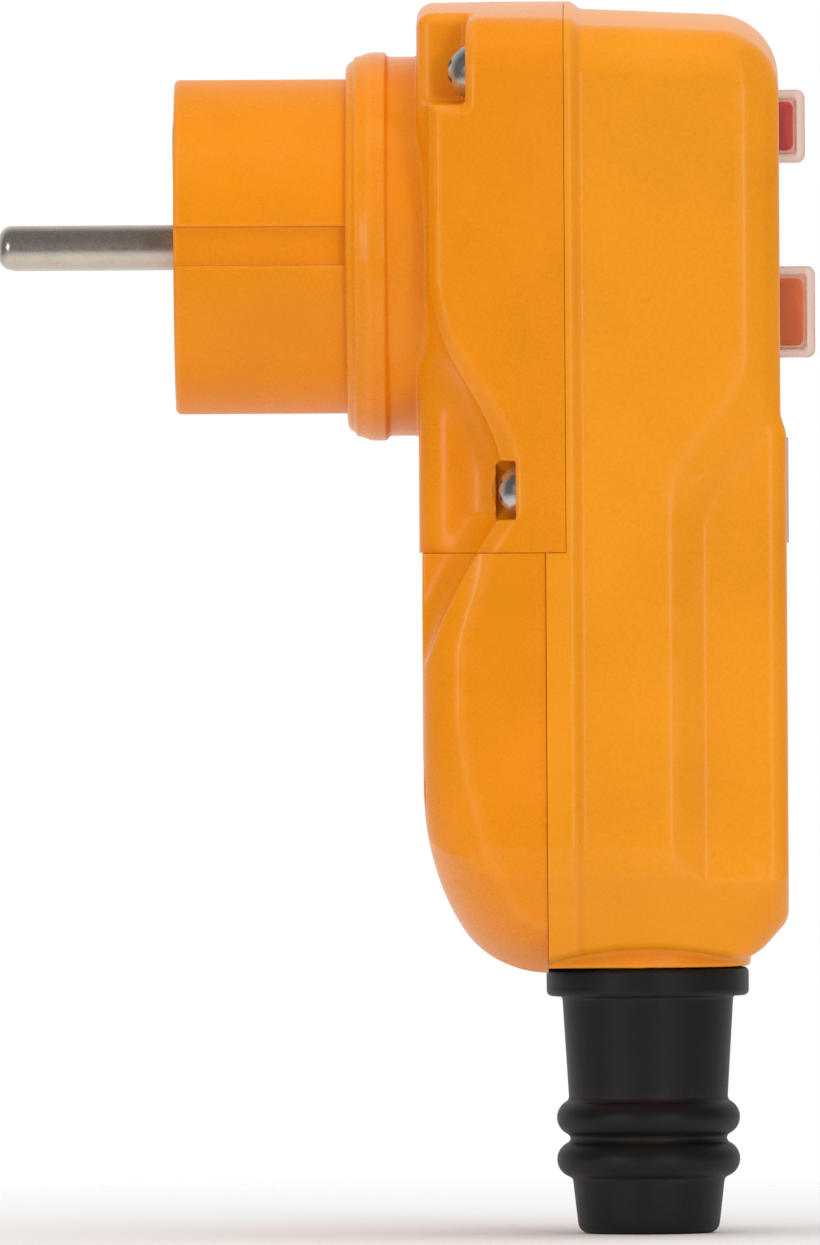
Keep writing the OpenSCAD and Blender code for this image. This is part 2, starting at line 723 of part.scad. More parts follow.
// Plug body with its pin holes, earth socket, guide grooves and slots for the earth tabs
module plug_insert() color("orange") difference() {
  turned() polygon([
    [0, 0], [plug_r - 0.5, 0], [plug_r, 0.5], [plug_r, lip_x], [plug_r + plug_lip, lip_x],
    [plug_r + plug_lip, rear_in], [0, rear_in]]);
  bar_x(plug_floor, rear_in + 1, pocket_r);
  for (s = [-1, 1]) {
    bar_x(-1, shank_relief, pin_r + pin_room, s * pin_pitch / 2);
    bar_x(-1, plug_floor + 1, shank_r + pin_room, s * pin_pitch / 2);
    box([-1, s > 0 ? plug_r - groove_depth : -far, -groove_w / 2],
      [plug_len, s > 0 ? far : groove_depth - plug_r, groove_w / 2]);
    box([-1, -earth_slot_w / 2, s > 0 ? plug_r - earth_slot_depth : -plug_r - 1],
      [plug_floor + earth_tab_t + fit, earth_slot_w / 2, s > 0 ? plug_r + 1 : earth_slot_depth - plug_r]);
  }
  bar_x(-1, plug_floor + 1, earth_bore / 2, 0, earth_rise);
  bar_x(earth_depth, plug_floor + 1, earth_tube_r + fit, 0, earth_rise);
  box([plug_floor, -tab_w / 2 - fit, -plug_r], [plug_floor + earth_tab_t + fit, tab_w / 2 + fit, plug_r]);
  bar_x(-1, eyelet_len, eyelet_r + fit, 0, earth_rise);
}

tab_w = earth_slot_w - 1.6;
earth_tube_r = earth_bore / 2 + 0.9;
earth_grip = 0.25;
eyelet_bore_r = earth_bore / 2 + 0.3;
eyelet_r = eyelet_bore_r + 0.8;
eyelet_len = 1.2;

// Plate behind the plug body, with the tube that carries the sensor ring
module pin_retainer() color("ivory") difference() {
  union() {
    along(retainer_x, retainer_x + retainer_t)
      round_plate(2 * (rear_inner_y - 0.4), retainer_h, 2);
    bar_x(retainer_x, retainer_x + retainer_t + toroid_len, toroid_bore / 2 - fit);
  }
  bar_x(retainer_x - 1, far, toroid_bore / 2 - 1.4);
  for (a = [-1, 1], b = [-1, 1])
    bar_x(retainer_x - 1, far, stud_r + pin_room, a * stud_y, b * stud_z);
  box([retainer_x - 1, -strap_w / 2 - slide, strap_z - strap_t],
    [retainer_x + 2, strap_w / 2 + slide, strap_z + strap_t]);
}

pin_head_t = 2;

// A turned pin: domed tip, shank and the head behind the plug's floor
module pin(y) color("silver") translate([0, y, 0]) turned() {
  dome = (pin_r * pin_r + pin_tip * pin_tip) / (2 * pin_tip);
  intersection() {
    translate([0, dome - pin_len]) circle(dome);
    translate([0, -pin_len]) square([pin_r, pin_tip + eps]);
  }
  translate([0, pin_tip - pin_len]) square([pin_r, pin_len - pin_tip]);
  translate([0, -eps]) square([shank_r, plug_floor + eps]);
  translate([0, plug_floor]) square([pin_r + 1.2, pin_head_t]);
}

module line_pin() pin(pin_pitch / 2);

module neutral_pin() pin(-pin_pitch / 2);

// Earth clip: a strap behind the plug's floor, two side tabs and the socket's contact tube
module earth_clip() color("gold") {
  tab_z = plug_r - earth_slot_depth + 0.2;
  difference() {
    union() {
      box([plug_floor, -tab_w / 2, -tab_z - earth_tab_t],
        [plug_floor + earth_tab_t, tab_w / 2, tab_z + earth_tab_t]);
      for (s = [0, 1]) mirror([0, 0, s])
        box([1.5, -tab_w / 2, tab_z], [plug_floor + eps, tab_w / 2, tab_z + earth_tab_t]);
      bar_x(earth_depth + 0.2, plug_floor + eps, earth_tube_r, 0, earth_rise);
    }
    bar_x(earth_depth, plug_floor - 0.3, earth_bore / 2 - earth_grip, 0, earth_rise);
    box([earth_depth, -0.4, earth_rise], [plug_floor - 1, 0.4, earth_rise + earth_tube_r + 1]);
  }
}

// Metal rim of the earth socket, a little proud of the contact face
module earth_eyelet() color("silver") difference() {
  bar_x(-0.25, eyelet_len - fit, eyelet_r, 0, earth_rise);
  bar_x(-1, eyelet_len + 1, eyelet_bore_r, 0, earth_rise);
}

// Fasteners

module housing_screws() color("silver") at_screws() dome_screw(screw_d, screw_len, head_d, head_h);

module cover_screws() color("silver") both_sides()
  translate([cover_rear_x + cover_seat, cover_screw_y, cover_screw_z])
    dome_screw(small_d, cover_screw_len, small_head_d, small_head_h);

module at_guide_screws() both_sides() for (z = [guide_top - 2.6, guide_low + 2.6])
  translate([guide_front, guide_w / 2 - 3.4, z]) children();

module guide_screws() color("silver") at_guide_screws()
  translate([-guide_t, 0, 0]) dome_screw(guide_screw_d, guide_t + 2, 3.8, 1.1);

// Cable parts

// Rubber sleeve: a grommet in the floor, an outer flange, and a ringed taper around the cable
module cable_sleeve() color([0.18, 0.18, 0.18]) translate([sleeve_x, 0, bottom_z]) difference() {
  tail = -sleeve_len;
  rings_end = -ring_drop - ring_pitch - ring_bead;
  union() {
    rotate_extrude() polygon([
      [0, floor_t + inner_flange_t], [inner_flange_r, floor_t + inner_flange_t],
      [inner_flange_r, floor_t + fit], [sleeve_neck_r, floor_t + fit],
      [sleeve_neck_r, -fit], [flange_d / 2, -fit],
      [flange_d / 2, -fit - flange_t], [sleeve_d / 2, -fit - flange_t - 0.2],
      [sleeve_waist / 2, -ring_drop + ring_bead], [sleeve_waist / 2 - 0.1, rings_end],
      [sleeve_tip / 2, tail + 1], [sleeve_tip / 2 - 1, tail], [0, tail]]);
    for (i = [0, 1]) rotate_extrude()
      translate([ring_d / 2 - ring_bead, -ring_drop - i * ring_pitch]) circle(ring_bead);
  }
  translate([0, 0, tail - 1]) cylinder(h = far, r = cable_r);
}

ring_bead = 2;
inner_flange_t = 2.8;
inner_flange_r = flange_d / 2 - 0.2;

// Bar that clamps the cable against its saddle
module cable_clamp() color("ivory") difference() {
  box([clamp_back, -clamp_screw_y - 3.5, clamp_z - clamp_h / 2],
    [clamp_front, clamp_screw_y + 3.5, clamp_z + clamp_h / 2]);
  translate([0, 0, clamp_z - clamp_h]) cylinder_at_sleeve(cable_r + slide, 2 * clamp_h);
  both_sides() bar_x(clamp_back - 1, sleeve_x, small_d / 2 + fit, clamp_screw_y, clamp_z);
}

module clamp_screws() color("silver") both_sides()
  translate([clamp_back, clamp_screw_y, clamp_z])
    dome_screw(small_d, clamp_screw_len, small_head_d, small_head_h);

// Terminal block, open below for the wires and behind for the screws
module terminal_block() color("ivory") difference() {
  box([block_back, -terminal_pitch - cage / 2 - 2.5, block_z - block_h / 2],
    [block_back + block_t, terminal_pitch + cage / 2 + 2.5, block_z + block_h / 2]);
  for (i = [-1:1]) translate([0, i * terminal_pitch, 0]) {
    box([cage_x - fit, -cage / 2 - fit, block_z - block_h],
      [cage_x + cage + fit, cage / 2 + fit, block_z + cage / 2 + fit]);
    bar_x(block_back - 1, cage_x + 1, terminal_screw_r + 0.9, 0, block_z);
    box([bar_face - slide, -strap_w / 2 - slide, block_z],
      [bar_face + bar_t + slide, strap_w / 2 + slide, block_z + block_h]);
  }
  both_sides()
    bar_x(block_back + block_t - spigot_len - fit, far, spigot_r + fit, terminal_pitch / 2, block_z);
}

bar_t = 0.8;
bar_w = 4;
bar_lap = 6;
bar_face = board_front;

module at_terminals() for (i = [-1:1]) translate([cage_x, i * terminal_pitch, block_z]) children();

// Brass cages, each with a hole for a wire and one for its screw
module terminal_clamps() color("gold") at_terminals() difference() {
  box([0, -cage / 2, -cage / 2], [cage, cage / 2, cage / 2]);
  translate([cage / 2 + 0.6, 0, -cage]) cylinder(h = 2 * cage, r = 1.9);
  bar_x(-1, cage / 2, terminal_screw_r + 0.05);
}

module terminal_screws() color("silver") at_terminals() difference() {
  union() {
    bar_x(-eps, 2, terminal_screw_r);
    bar_x(-1.8, 0, terminal_screw_r + 0.7);
  }
  box([-3, -3, -0.35], [-1, 3, 0.35]);
}

terminal_screw_r = 1.5;

// Buttons

guide_w = 2 * (inner_y - 1.2);
guide_top = front_top - top_fall - wall - 1.2;
guide_low = test_z - test_boot_h / 2 - 4.6;

// A button: round-cornered head, the flange that stops it, and its stem
module button(h, w, out, z) {
  head_h = h - 2 * (boot_wall + boot_gap);
  head_w = w - 2 * (boot_wall + boot_gap);
  pad(button_back, front_x + out - boot_wall - boot_gap, head_w, head_h, 0.9, z);
  pad(button_back, button_back + flange_t_button, head_w + 2, head_h + 2, 1.4, z);
}

module reset_button() color("firebrick") {
  button(reset_boot_h, reset_boot_w, reset_boot_out, reset_rise);
  bar_x(carrier_front + stop_slack, button_back + eps, 2.5, 0, reset_rise);
}

module test_button() color("chocolate") {
  button(test_boot_h, test_boot_w, test_boot_out, test_z);
  bar_x(switch_top - test_stem_in, button_back + eps, test_stem_r, 0, test_z);
}

// A silicone boot over a button, clamped by its flange behind the front wall
module boot(h, w, out, z) color("mistyrose") difference() {
  union() {
    pad(guide_front, front_x + out, w, h, 1.5, z);
    pad(guide_front, front_in, w + 2.4, h + 2.4, 2, z);
  }
  pad(guide_front - 1, front_x + out - boot_wall, w - 2 * boot_wall, h - 2 * boot_wall, 0.9, z);
}

module reset_boot() boot(reset_boot_h, reset_boot_w, reset_boot_out, reset_rise);

module test_boot() boot(test_boot_h, test_boot_w, test_boot_out, test_z);

// Plate that guides both buttons, with rails for the contact carrier
module button_guide() color("ivory") difference() {
  union() {
    along(guide_back, guide_front) translate([0, (guide_top + guide_low) / 2])
      round_plate(guide_w, guide_top - guide_low, 2);
    both_sides() box([rail_back, carrier_w / 2 + slide, reset_rise - tongue_h / 2 - rail_lip],
      [guide_back + eps, guide_w / 2, reset_rise + tongue_h / 2 + rail_lip]);
  }
  guide_window(reset_boot_h, reset_boot_w, reset_rise);
  guide_window(test_boot_h, test_boot_w, test_z);
  both_sides() box([rail_back - 1, 0, reset_rise - tongue_h / 2 - slide],
    [carrier_front + 1, carrier_w / 2 + tongue + slide, reset_rise + tongue_h / 2 + slide]);
  at_guide_screws() bar_x(-guide_t - 1, 1, guide_screw_d / 2 + fit);
}

module guide_window(h, w, z) {
  less = 2 * (boot_wall + boot_gap - slide);
  pad(guide_back - 1, guide_front + 1, w - less, h - less, 1, z);
}

// A bare plate on the lower front face
module label_plate() color("gainsboro") pad(panel_x, panel_x + label_t, label_w, label_h, 1.5, label_z);

// Sensing and switching

tongue = 0.9;
tongue_h = 2.8;
rail_lip = 1.2;
rail_back = carrier_back - reset_travel - 1.2;

board_half = screw_y - boss_r - 0.4;

// Circuit board on the front shell's ledge, cut out around the screw bosses
module circuit_board() color("darkgreen") {
  wide = ledge_y - 0.4;
  top = front_top - wall - 1.4;
  low = split_z + wall + 5;
  notch_top = upper_z - boss_r - 0.4;
  notch_low = lower_z + boss_r + 0.4;
  along(board_back, board_front) {
    translate([-board_half, low]) square([2 * board_half, top - low]);
    translate([-wide, notch_low]) square([2 * wide, notch_top - notch_low]);
  }
}

// Ring core of the residual current sensor, in its winding
module sensor_toroid() color("peru") translate([retainer_x + retainer_t, 0, 0]) turned() {
  ring_w = (toroid_d - toroid_bore) / 2;
  translate([toroid_bore / 2 + ring_w / 2, toroid_len / 2]) round_plate(ring_w, toroid_len, 1.5);
}

bobbin_wall = 0.7;
bobbin_flange = 0.8;

module magnet_bobbin() color("ivory") difference() {
  tube_r = core_d / 2 + fit + bobbin_wall;
  union() {
    bar_x(board_front, core_end - 0.4, tube_r, 0, reset_rise);
    bar_x(board_front, board_front + bobbin_flange, coil_d / 2 + 0.5, 0, reset_rise);
    bar_x(core_end - 0.4 - bobbin_flange, core_end - 0.4, coil_d / 2 + 0.5, 0, reset_rise);
  }
  bar_x(board_front - 1, far, core_d / 2 + fit, 0, reset_rise);
}

module magnet_coil() color("peru") difference() {
  bar_x(board_front + bobbin_flange, core_end - 0.4 - bobbin_flange, coil_d / 2, 0, reset_rise);
  bar_x(board_front, core_end, core_d / 2 + 2 * fit + bobbin_wall, 0, reset_rise);
}

module magnet_core() color("gray") bar_x(board_front, core_end, core_d / 2, 0, reset_rise);

module armature_plate() color("gray") pad(armature_back, carrier_back, core_d + 7, carrier_h, 1, reset_rise);

// Sliding carrier with a tongue at each end and spigots for its springs
module contact_carrier() color("ivory") {
  box([carrier_back, -carrier_w / 2, reset_rise - carrier_h / 2],
    [carrier_front, carrier_w / 2, reset_rise + carrier_h / 2]);
  box([carrier_back, -carrier_w / 2 - tongue, reset_rise - tongue_h / 2],
    [carrier_front, carrier_w / 2 + tongue, reset_rise + tongue_h / 2]);
  both_sides() bar_x(carrier_back - 1.2, carrier_back + eps, 1.1, spring_y, reset_rise);
}

// Contact bridges on the carrier, and the fixed contacts they close
module moving_contacts() color("gold") both_sides() {
  box([carrier_back - bridge_t, contact_y - 1.8, reset_rise - contact_gap - 1.6],
    [carrier_back, contact_y + 1.8, reset_rise + contact_gap + 1.6]);
  for (s = [-1, 1])
    translate([carrier_back, contact_y, reset_rise + s * contact_gap])
      bar_x(-contact_t, eps - bridge_t, contact_r);
}

module fixed_contacts() color("gold") both_sides() for (s = [-1, 1]) {
  z = reset_rise + s * contact_gap;
  box([board_front, contact_y - 0.5, z - 1.5], [fixed_tip - bridge_t, contact_y + 0.5, z + 1.5]);
  bar_x(fixed_tip - bridge_t - eps, fixed_tip, contact_r, contact_y, z);
}

module carrier_springs() color("silver") both_sides()
  coil_spring(board_front, carrier_back, 1.8, 7, spring_y, reset_rise);

// Test switch on the board, with a well for the test button's stem
module test_switch() color("dimgray") difference() {
  pad(board_front, switch_top, 10, 9, 1, test_z);
  bar_x(switch_top - test_stem_in - test_travel - 0.4, far, test_stem_r + slide, 0, test_z);
}

module test_spring() color("silver") coil_spring(switch_top, button_back, 2.9, 6, 0, test_z);

// Parts soldered to the board beside and below the test switch
varistor_d = 10;
varistor_t = 4.5;
capacitor = [7.5, 9, 13];
chip = [1.6, 10, 4];
part_z = test_z - 3.5;
chip_z = test_z - 13.1;

module surge_varistor() color("royalblue")
  bar_x(board_front, board_front + varistor_t, varistor_d / 2, varistor_d / 2 - board_half, part_z);

module filter_capacitor() color("khaki")
  translate([board_front, board_half - capacitor[1], part_z - capacitor[2] / 2]) cube(capacitor);

module control_chip() color([0.15, 0.15, 0.16])
  translate([board_front, -chip[1] / 2, chip_z - chip[2] / 2]) cube(chip);

// Conductors

conductor_t = 1;
conductor_w = 4;
strap_w = 5;
strap_t = 0.8;
strap_z = -toroid_d / 2 - 1.4;

module line_conductor() color("peru") conductor_strip(1);

module neutral_conductor() color("peru") conductor_strip(-1);

// A strip from a pin's head through the sensor ring to the board
module conductor_strip(s) {
  y = s * pin_pitch / 2;
  inner = s * (toroid_bore / 2 - 3.3);
  start = plug_floor + pin_head_t;
  upright(-conductor_w / 2, conductor_w / 2)
    strip([[start, y], [start + 5, y], [retainer_x - 1, inner], [board_back, inner]], conductor_t);
}

// Strips from the board down to the outer terminals
module output_bars() color("peru") both_sides()
  box([bar_face, terminal_pitch - bar_w / 2, block_z + cage / 2],
    [bar_face + bar_t, terminal_pitch + bar_w / 2, split_z + wall + bar_lap + 5]);

// Strap from the earth clip, under the sensor ring and the board, to the middle terminal
module earth_strap() color("gold") across(strap_w / 2) {
  start = plug_floor + earth_tab_t + strap_t / 2;
  drop_x = seam_x - 2.2;
  under = split_z + wall + 1.6;
  strip([[start, strap_z + 4], [start, strap_z], [drop_x, strap_z], [drop_x, under],
    [bar_face + bar_t / 2, under], [bar_face + bar_t / 2, block_z + cage / 2]], strap_t);
}

rear_shell();
front_shell();
terminal_cover();
plug_insert();
pin_retainer();
line_pin();
neutral_pin();
earth_clip();
earth_eyelet();
housing_screws();
cover_screws();
housing_seal();
cover_seal();
cable_sleeve();
cable_clamp();
clamp_screws();
reset_button();
reset_boot();
test_button();
test_boot();
button_guide();
guide_screws();
label_plate();
circuit_board();
sensor_toroid();
magnet_bobbin();
magnet_coil();
magnet_core();
armature_plate();
contact_carrier();
moving_contacts();
fixed_contacts();
carrier_springs();
test_switch();
test_spring();
surge_varistor();
filter_capacitor();
control_chip();
line_conductor();
neutral_conductor();
output_bars();
earth_strap();
terminal_block();
terminal_clamps();
terminal_screws();
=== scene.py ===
# %% [markdown]
# # A safety plug with a residual current device
# The object is an angled plug in an orange housing: a round plug body with two pins, two housing
# shells, a cover over the wiring, two buttons under soft boots and a rubber cable sleeve. The
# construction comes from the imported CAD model, which this script loads as a fixed frame. The lesson
# models the parts that show, gives every part its finish, and sets the light and the camera.

# %% Load the frame
import itertools
import json
import math

import bmesh
import bpy
import numpy as np
from mathutils import Matrix, Vector


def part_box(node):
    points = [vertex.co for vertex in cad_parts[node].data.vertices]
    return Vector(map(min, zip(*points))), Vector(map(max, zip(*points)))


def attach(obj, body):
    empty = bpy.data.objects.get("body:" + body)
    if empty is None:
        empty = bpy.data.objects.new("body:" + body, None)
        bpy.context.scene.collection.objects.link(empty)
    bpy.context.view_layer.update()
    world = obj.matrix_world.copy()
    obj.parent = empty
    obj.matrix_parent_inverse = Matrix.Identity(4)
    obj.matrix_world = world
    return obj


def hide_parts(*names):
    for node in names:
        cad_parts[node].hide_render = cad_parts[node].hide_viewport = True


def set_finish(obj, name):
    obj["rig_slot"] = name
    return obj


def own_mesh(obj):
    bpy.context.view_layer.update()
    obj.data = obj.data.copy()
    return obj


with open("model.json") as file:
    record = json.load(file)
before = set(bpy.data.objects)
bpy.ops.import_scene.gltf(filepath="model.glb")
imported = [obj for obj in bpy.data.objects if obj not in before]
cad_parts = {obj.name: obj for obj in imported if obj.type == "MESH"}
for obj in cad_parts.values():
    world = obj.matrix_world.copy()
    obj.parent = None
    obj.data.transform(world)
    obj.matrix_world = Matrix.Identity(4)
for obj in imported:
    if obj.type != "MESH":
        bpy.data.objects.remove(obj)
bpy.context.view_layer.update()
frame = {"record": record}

# %% [markdown]
# ## Sizes from the frame
# A new piece has to lie where the CAD piece lies, so its main sizes are read from the boxes of the
# CAD nodes and only the small ones, such as an edge radius, are written here. Blender works in
# metres. Small parts are easier to read in millimetres, so the shapes below are in millimetres and
# are turned into metres when their mesh is made.

# %% Planes and widths of the housing
MM = 0.001


def node_box(node):
    """Lowest and highest corner of a CAD node in millimetres."""
    low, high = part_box(node)
    return np.array(low) / MM, np.array(high) / MM


half_w = node_box("rear_shell")[1][1]
top_z = node_box("rear_shell")[1][2]
collar_x = node_box("rear_shell")[0][0]
seam_x = node_box("housing_seal")[0][0]
cover_x = node_box("cover_seal")[0][0]
cover_rear_x = node_box("terminal_cover")[0][0]
rear_step = 0.4
rear_x = cover_rear_x - rear_step
split_z = node_box("terminal_cover")[1][2]
bottom_z = node_box("front_shell")[0][2]
cover_z = node_box("terminal_cover")[0][2]
panel_x = node_box("label_plate")[0][0]
panel_step = 0.6
front_x = panel_x - panel_step
rim_step = 0.8
rim_w = 1.2
rim_x = seam_x + rim_w
side_y = half_w - rim_step
waist_step = 0.2
waist_y = side_y + waist_step
front_top = top_z - rim_step
crown_r = 115.0
hip_h = 11.3
hip_w = 11.2
hip_z = bottom_z + hip_h
wall = 2.2
edge_r = 5.0
seam_gap = 0.03
print(f"housing {2 * half_w:.1f} wide, from X {rear_x:.1f} to {panel_x:.1f}")

# %% [markdown]
# ## Rounded shapes from distances
# Moulded housings have a radius on every edge. Bevels on a mesh with pockets and scoops break
# easily, so the shells are described by distances instead: a function gives each point its distance
# to the surface, below zero inside. Two such shapes are joined, crossed or cut by comparing their
# distances, and the comparison itself can round the edge where they meet. Three radii come back on
# most edges, so they get names.

# %% Joining and cutting shapes
sharp = 0.1
crisp = 0.2
soft = 0.5


def crossed(a, b, r):
    """Where both shapes are, with its edge rounded to radius r."""
    return np.minimum(-r, np.maximum(a, b)) + np.hypot(np.maximum(a + r, 0), np.maximum(b + r, 0))


def joined(a, b, r):
    """Either shape, with its inner corner rounded to radius r."""
    return -crossed(-a, -b, r)


def cut(a, b, r):
    """The first shape without the second, with its edge rounded to radius r."""
    return crossed(a, -b, r)


def bar_x(p, x0, x1, radius, y=0.0, z=0.0, edge=crisp):
    """A round bar along X."""
    ends = np.abs(p[0] - (x0 + x1) / 2) - (x1 - x0) / 2
    return crossed(np.hypot(p[1] - y, p[2] - z) - radius, ends, edge)


def bar_z(p, z0, z1, radius, x, edge=crisp):
    """A round bar along Z in the middle plane."""
    ends = np.abs(p[2] - (z0 + z1) / 2) - (z1 - z0) / 2
    return crossed(np.hypot(p[0] - x, p[1]) - radius, ends, edge)


def block(p, low, high, edge=crisp):
    """A box between two corners."""
    d = [np.abs(p[i] - (low[i] + high[i]) / 2) - (high[i] - low[i]) / 2 for i in range(3)]
    return crossed(crossed(d[0], d[1], edge), d[2], edge)


def pad(p, x0, x1, width, height, corner, z, edge=crisp):
    """A plate across X with round corners, centred on a height."""
    outline = crossed(np.abs(p[1]) - width / 2, np.abs(p[2] - z) - height / 2, corner)
    return crossed(outline, np.abs(p[0] - (x0 + x1) / 2) - (x1 - x0) / 2, edge)


def ease(t):
    """From 0 to 1 along a soft S."""
    t = np.clip(t, 0, 1)
    return t * t * (3 - 2 * t)


print("shape tools: crossed, joined, cut, bar_x, bar_z, block, pad, ease")

# %% [markdown]
# ## From distances to a mesh
# The shape is sampled on a grid. Each grid cell that the surface passes gets one point, and cells
# that share a crossed grid edge are joined by a four-sided face, which makes an even net. The points
# are then slid along the slope of the distance until they lie on the surface. The net has far more
# faces than flat walls need, so Decimate thins it. Its normals are taken from the shape and not from
# the thinned faces, so the walls shade flat and the radii shade smooth. Where two shells meet, planes
# cut the net and flat faces close it again. A Boolean with a box could do that too, but on nets as
# dense as these it left open edges. The bend of the surface at each point is kept as well: materials
# use it to find worn edges, which also get a painted highlight, and dusty corners.

# %% A net of faces around a shape
slope_part = 8
least_steep = 0.2
near_steps = 1.3


def slope_at(shape, points, reach):
    """Direction in which the distance grows, for points in three rows."""
    rows = []
    for axis in range(3):
        step = np.zeros((3, 1))
        step[axis] = reach
        rows.append((shape(points + step) - shape(points - step)) / (2 * reach))
    return np.stack(rows)


def slide_onto(shape, points, step, rounds):
    """Points moved along the slope until they lie on the surface."""
    for _ in range(rounds):
        slope = slope_at(shape, points, step / slope_part)
        steep = np.maximum((slope ** 2).sum(0), least_steep)
        move = np.clip(shape(points) / steep, -step / 2, step / 2)
        points = points - move * slope
    return points


def inside_at(shape, axes, step):
    """Which grid points lie inside, worked out one by one only in pairs near the surface."""
    pairs = np.stack(np.meshgrid(*[a[::2] + step / 2 for a in axes], indexing="ij"))
    rough = shape(pairs.astype(np.float32))
    inside = rough < 0
    for axis, line in enumerate(axes):
        inside = np.take(np.repeat(inside, 2, axis), range(len(line)), axis)
    near = 2 * np.argwhere(np.abs(rough) < near_steps * step)
    for corner in itertools.product((0, 1), repeat=3):
        spots = near + corner
        spots = spots[(spots < inside.shape).all(1)]
        points = np.stack([a[i] for a, i in zip(axes, spots.T)])
        inside[tuple(spots.T)] = shape(points) < 0
    return inside


def net_around(shape, low, high, step):
    """Points in three rows, and four-sided faces, around the zero of a distance."""
    axes = [np.arange(a - 2 * step, b + 3 * step, step) for a, b in zip(low, high)]
    inside = inside_at(shape, axes, step)
    cells = [n - 1 for n in inside.shape]
    filled = sum(
        inside[tuple(slice(o, o + n) for o, n in zip(corner, cells))].astype(np.int8)
        for corner in itertools.product((0, 1), repeat=3)
    )
    mixed = (filled > 0) & (filled < 8)
    number = np.full(mixed.shape, -1)
    number[mixed] = np.arange(mixed.sum())
    start = np.array([a[0] for a in axes]) + step / 2
    points = (start + np.argwhere(mixed) * step).T
    faces = []
    for axis in range(3):
        u, v = np.eye(3, dtype=int)[[(axis + 1) % 3, (axis + 2) % 3]]
        before = np.take(inside, range(cells[axis]), axis)
        after = np.take(inside, range(1, cells[axis] + 1), axis)
        for leaving in (True, False):
            found = np.argwhere((before & ~after) if leaving else (after & ~before))
            around = [tuple((found - c).T) for c in (u + v, v, 0 * u, u)]
            faces.append(np.stack([number[c] for c in (around if leaving else around[::-1])], 1))
    return slide_onto(shape, points, step, rounds=5), np.concatenate(faces)


print("net tools: slope_at, slide_onto, inside_at, net_around")

# %% New objects
def put_on_body(piece, body, slot, *nodes):
    """The piece moves with a body, takes a slot's finish and stands for CAD nodes."""
    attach(piece, body)
    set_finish(piece, slot)
    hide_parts(*nodes)
    return piece


def new_object(name, points, faces):
    """An object from points in millimetres."""
    mesh = bpy.data.meshes.new(name)
    mesh.from_pydata((np.asarray(points) * MM).tolist(), [], np.asarray(faces).tolist())
    piece = bpy.data.objects.new(name, mesh)
    bpy.context.scene.collection.objects.link(piece)
    return piece


def apply_modifiers(piece):
    """The piece's mesh as its modifiers make it."""
    ready = piece.evaluated_get(bpy.context.evaluated_depsgraph_get())
    mesh = bpy.data.meshes.new_from_object(ready)
    piece.modifiers.clear()
    piece.data = mesh
    mesh.name = piece.name


def places_of(mesh):
    """The mesh's points in millimetres, in three rows."""
    places = np.empty(3 * len(mesh.vertices), np.float32)
    mesh.vertices.foreach_get("co", places)
    return places.reshape(-1, 3).T / MM


print("object tools: put_on_body, new_object, apply_modifiers, places_of")

# %% Flat cuts
def trim(mesh, *sides):
    """Takes away what lies past all of one or two planes, and closes the cut with flat faces."""
    near = 0.004
    net = bmesh.new()
    net.from_mesh(mesh)
    bmesh.ops.transform(net, matrix=Matrix.Scale(1 / MM, 4), verts=net.verts)
    for axis, value, way in sides:
        place, normal = Vector(), Vector()
        place[axis], normal[axis] = value, way
        everything = net.verts[:] + net.edges[:] + net.faces[:]
        bmesh.ops.bisect_plane(net, geom=everything, dist=near / 2, plane_co=place, plane_no=normal)
    gone = [face for face in net.faces
            if all(way * (face.calc_center_median()[axis] - value) > 0 for axis, value, way in sides)]
    bmesh.ops.delete(net, geom=gone, context="FACES")
    bmesh.ops.remove_doubles(net, verts=net.verts, dist=near)
    rim = [edge for edge in net.edges if len(edge.link_faces) == 1]
    if len(sides) == 2:
        across = next(i for i in range(3) if i not in (sides[0][0], sides[1][0]))
        corner = {point for edge in rim for point in edge.verts
                  if all(abs(point.co[axis] - value) < near for axis, value, _ in sides)}
        corner = sorted(corner, key=lambda point: point.co[across])
        rim += [net.edges.new(pair) for pair in zip(corner[::2], corner[1::2]) if not net.edges.get(pair)]
    for axis, value, way in sides:
        flat = [edge for edge in rim if all(abs(point.co[axis] - value) < near for point in edge.verts)]
        normal = Vector()
        normal[axis] = way
        for face in bmesh.ops.triangle_fill(net, use_beauty=True, edges=flat, normal=normal)["geom"]:
            if isinstance(face, bmesh.types.BMFace):
                face.normal_update()
                if face.normal[axis] * way < 0:
                    face.normal_flip()
    open_edges = sum(len(edge.link_faces) != 2 for edge in net.edges)
    bmesh.ops.transform(net, matrix=Matrix.Scale(MM, 4), verts=net.verts)
    net.to_mesh(mesh)
    net.free()
    return open_edges


print("cutting tool: trim")

# %% A thinned piece with true normals
level = 0.999
on_plane = 0.002
bend_reach = 0.35


def set_normals(mesh, shape, places, reach, planes):
    """Normals from the shape's slope, and straight ones on the flat ends."""
    slope = slope_at(shape, places, reach)
    normals = (slope / np.maximum(np.linalg.norm(slope, axis=0), 1e-6)).T
    corners = np.empty(len(mesh.loops), np.int32)
    mesh.loops.foreach_get("vertex_index", corners)
    wanted = normals[corners]
    for face in mesh.polygons:
        for axis, value in planes:
            if abs(face.normal[axis]) > level and abs(face.center[axis] / MM - value) < on_plane:
                wanted[face.loop_start:face.loop_start + face.loop_total] = face.normal
    mesh.polygons.foreach_set("use_smooth", [True] * len(mesh.polygons))
    mesh.normals_split_custom_set(wanted.tolist())


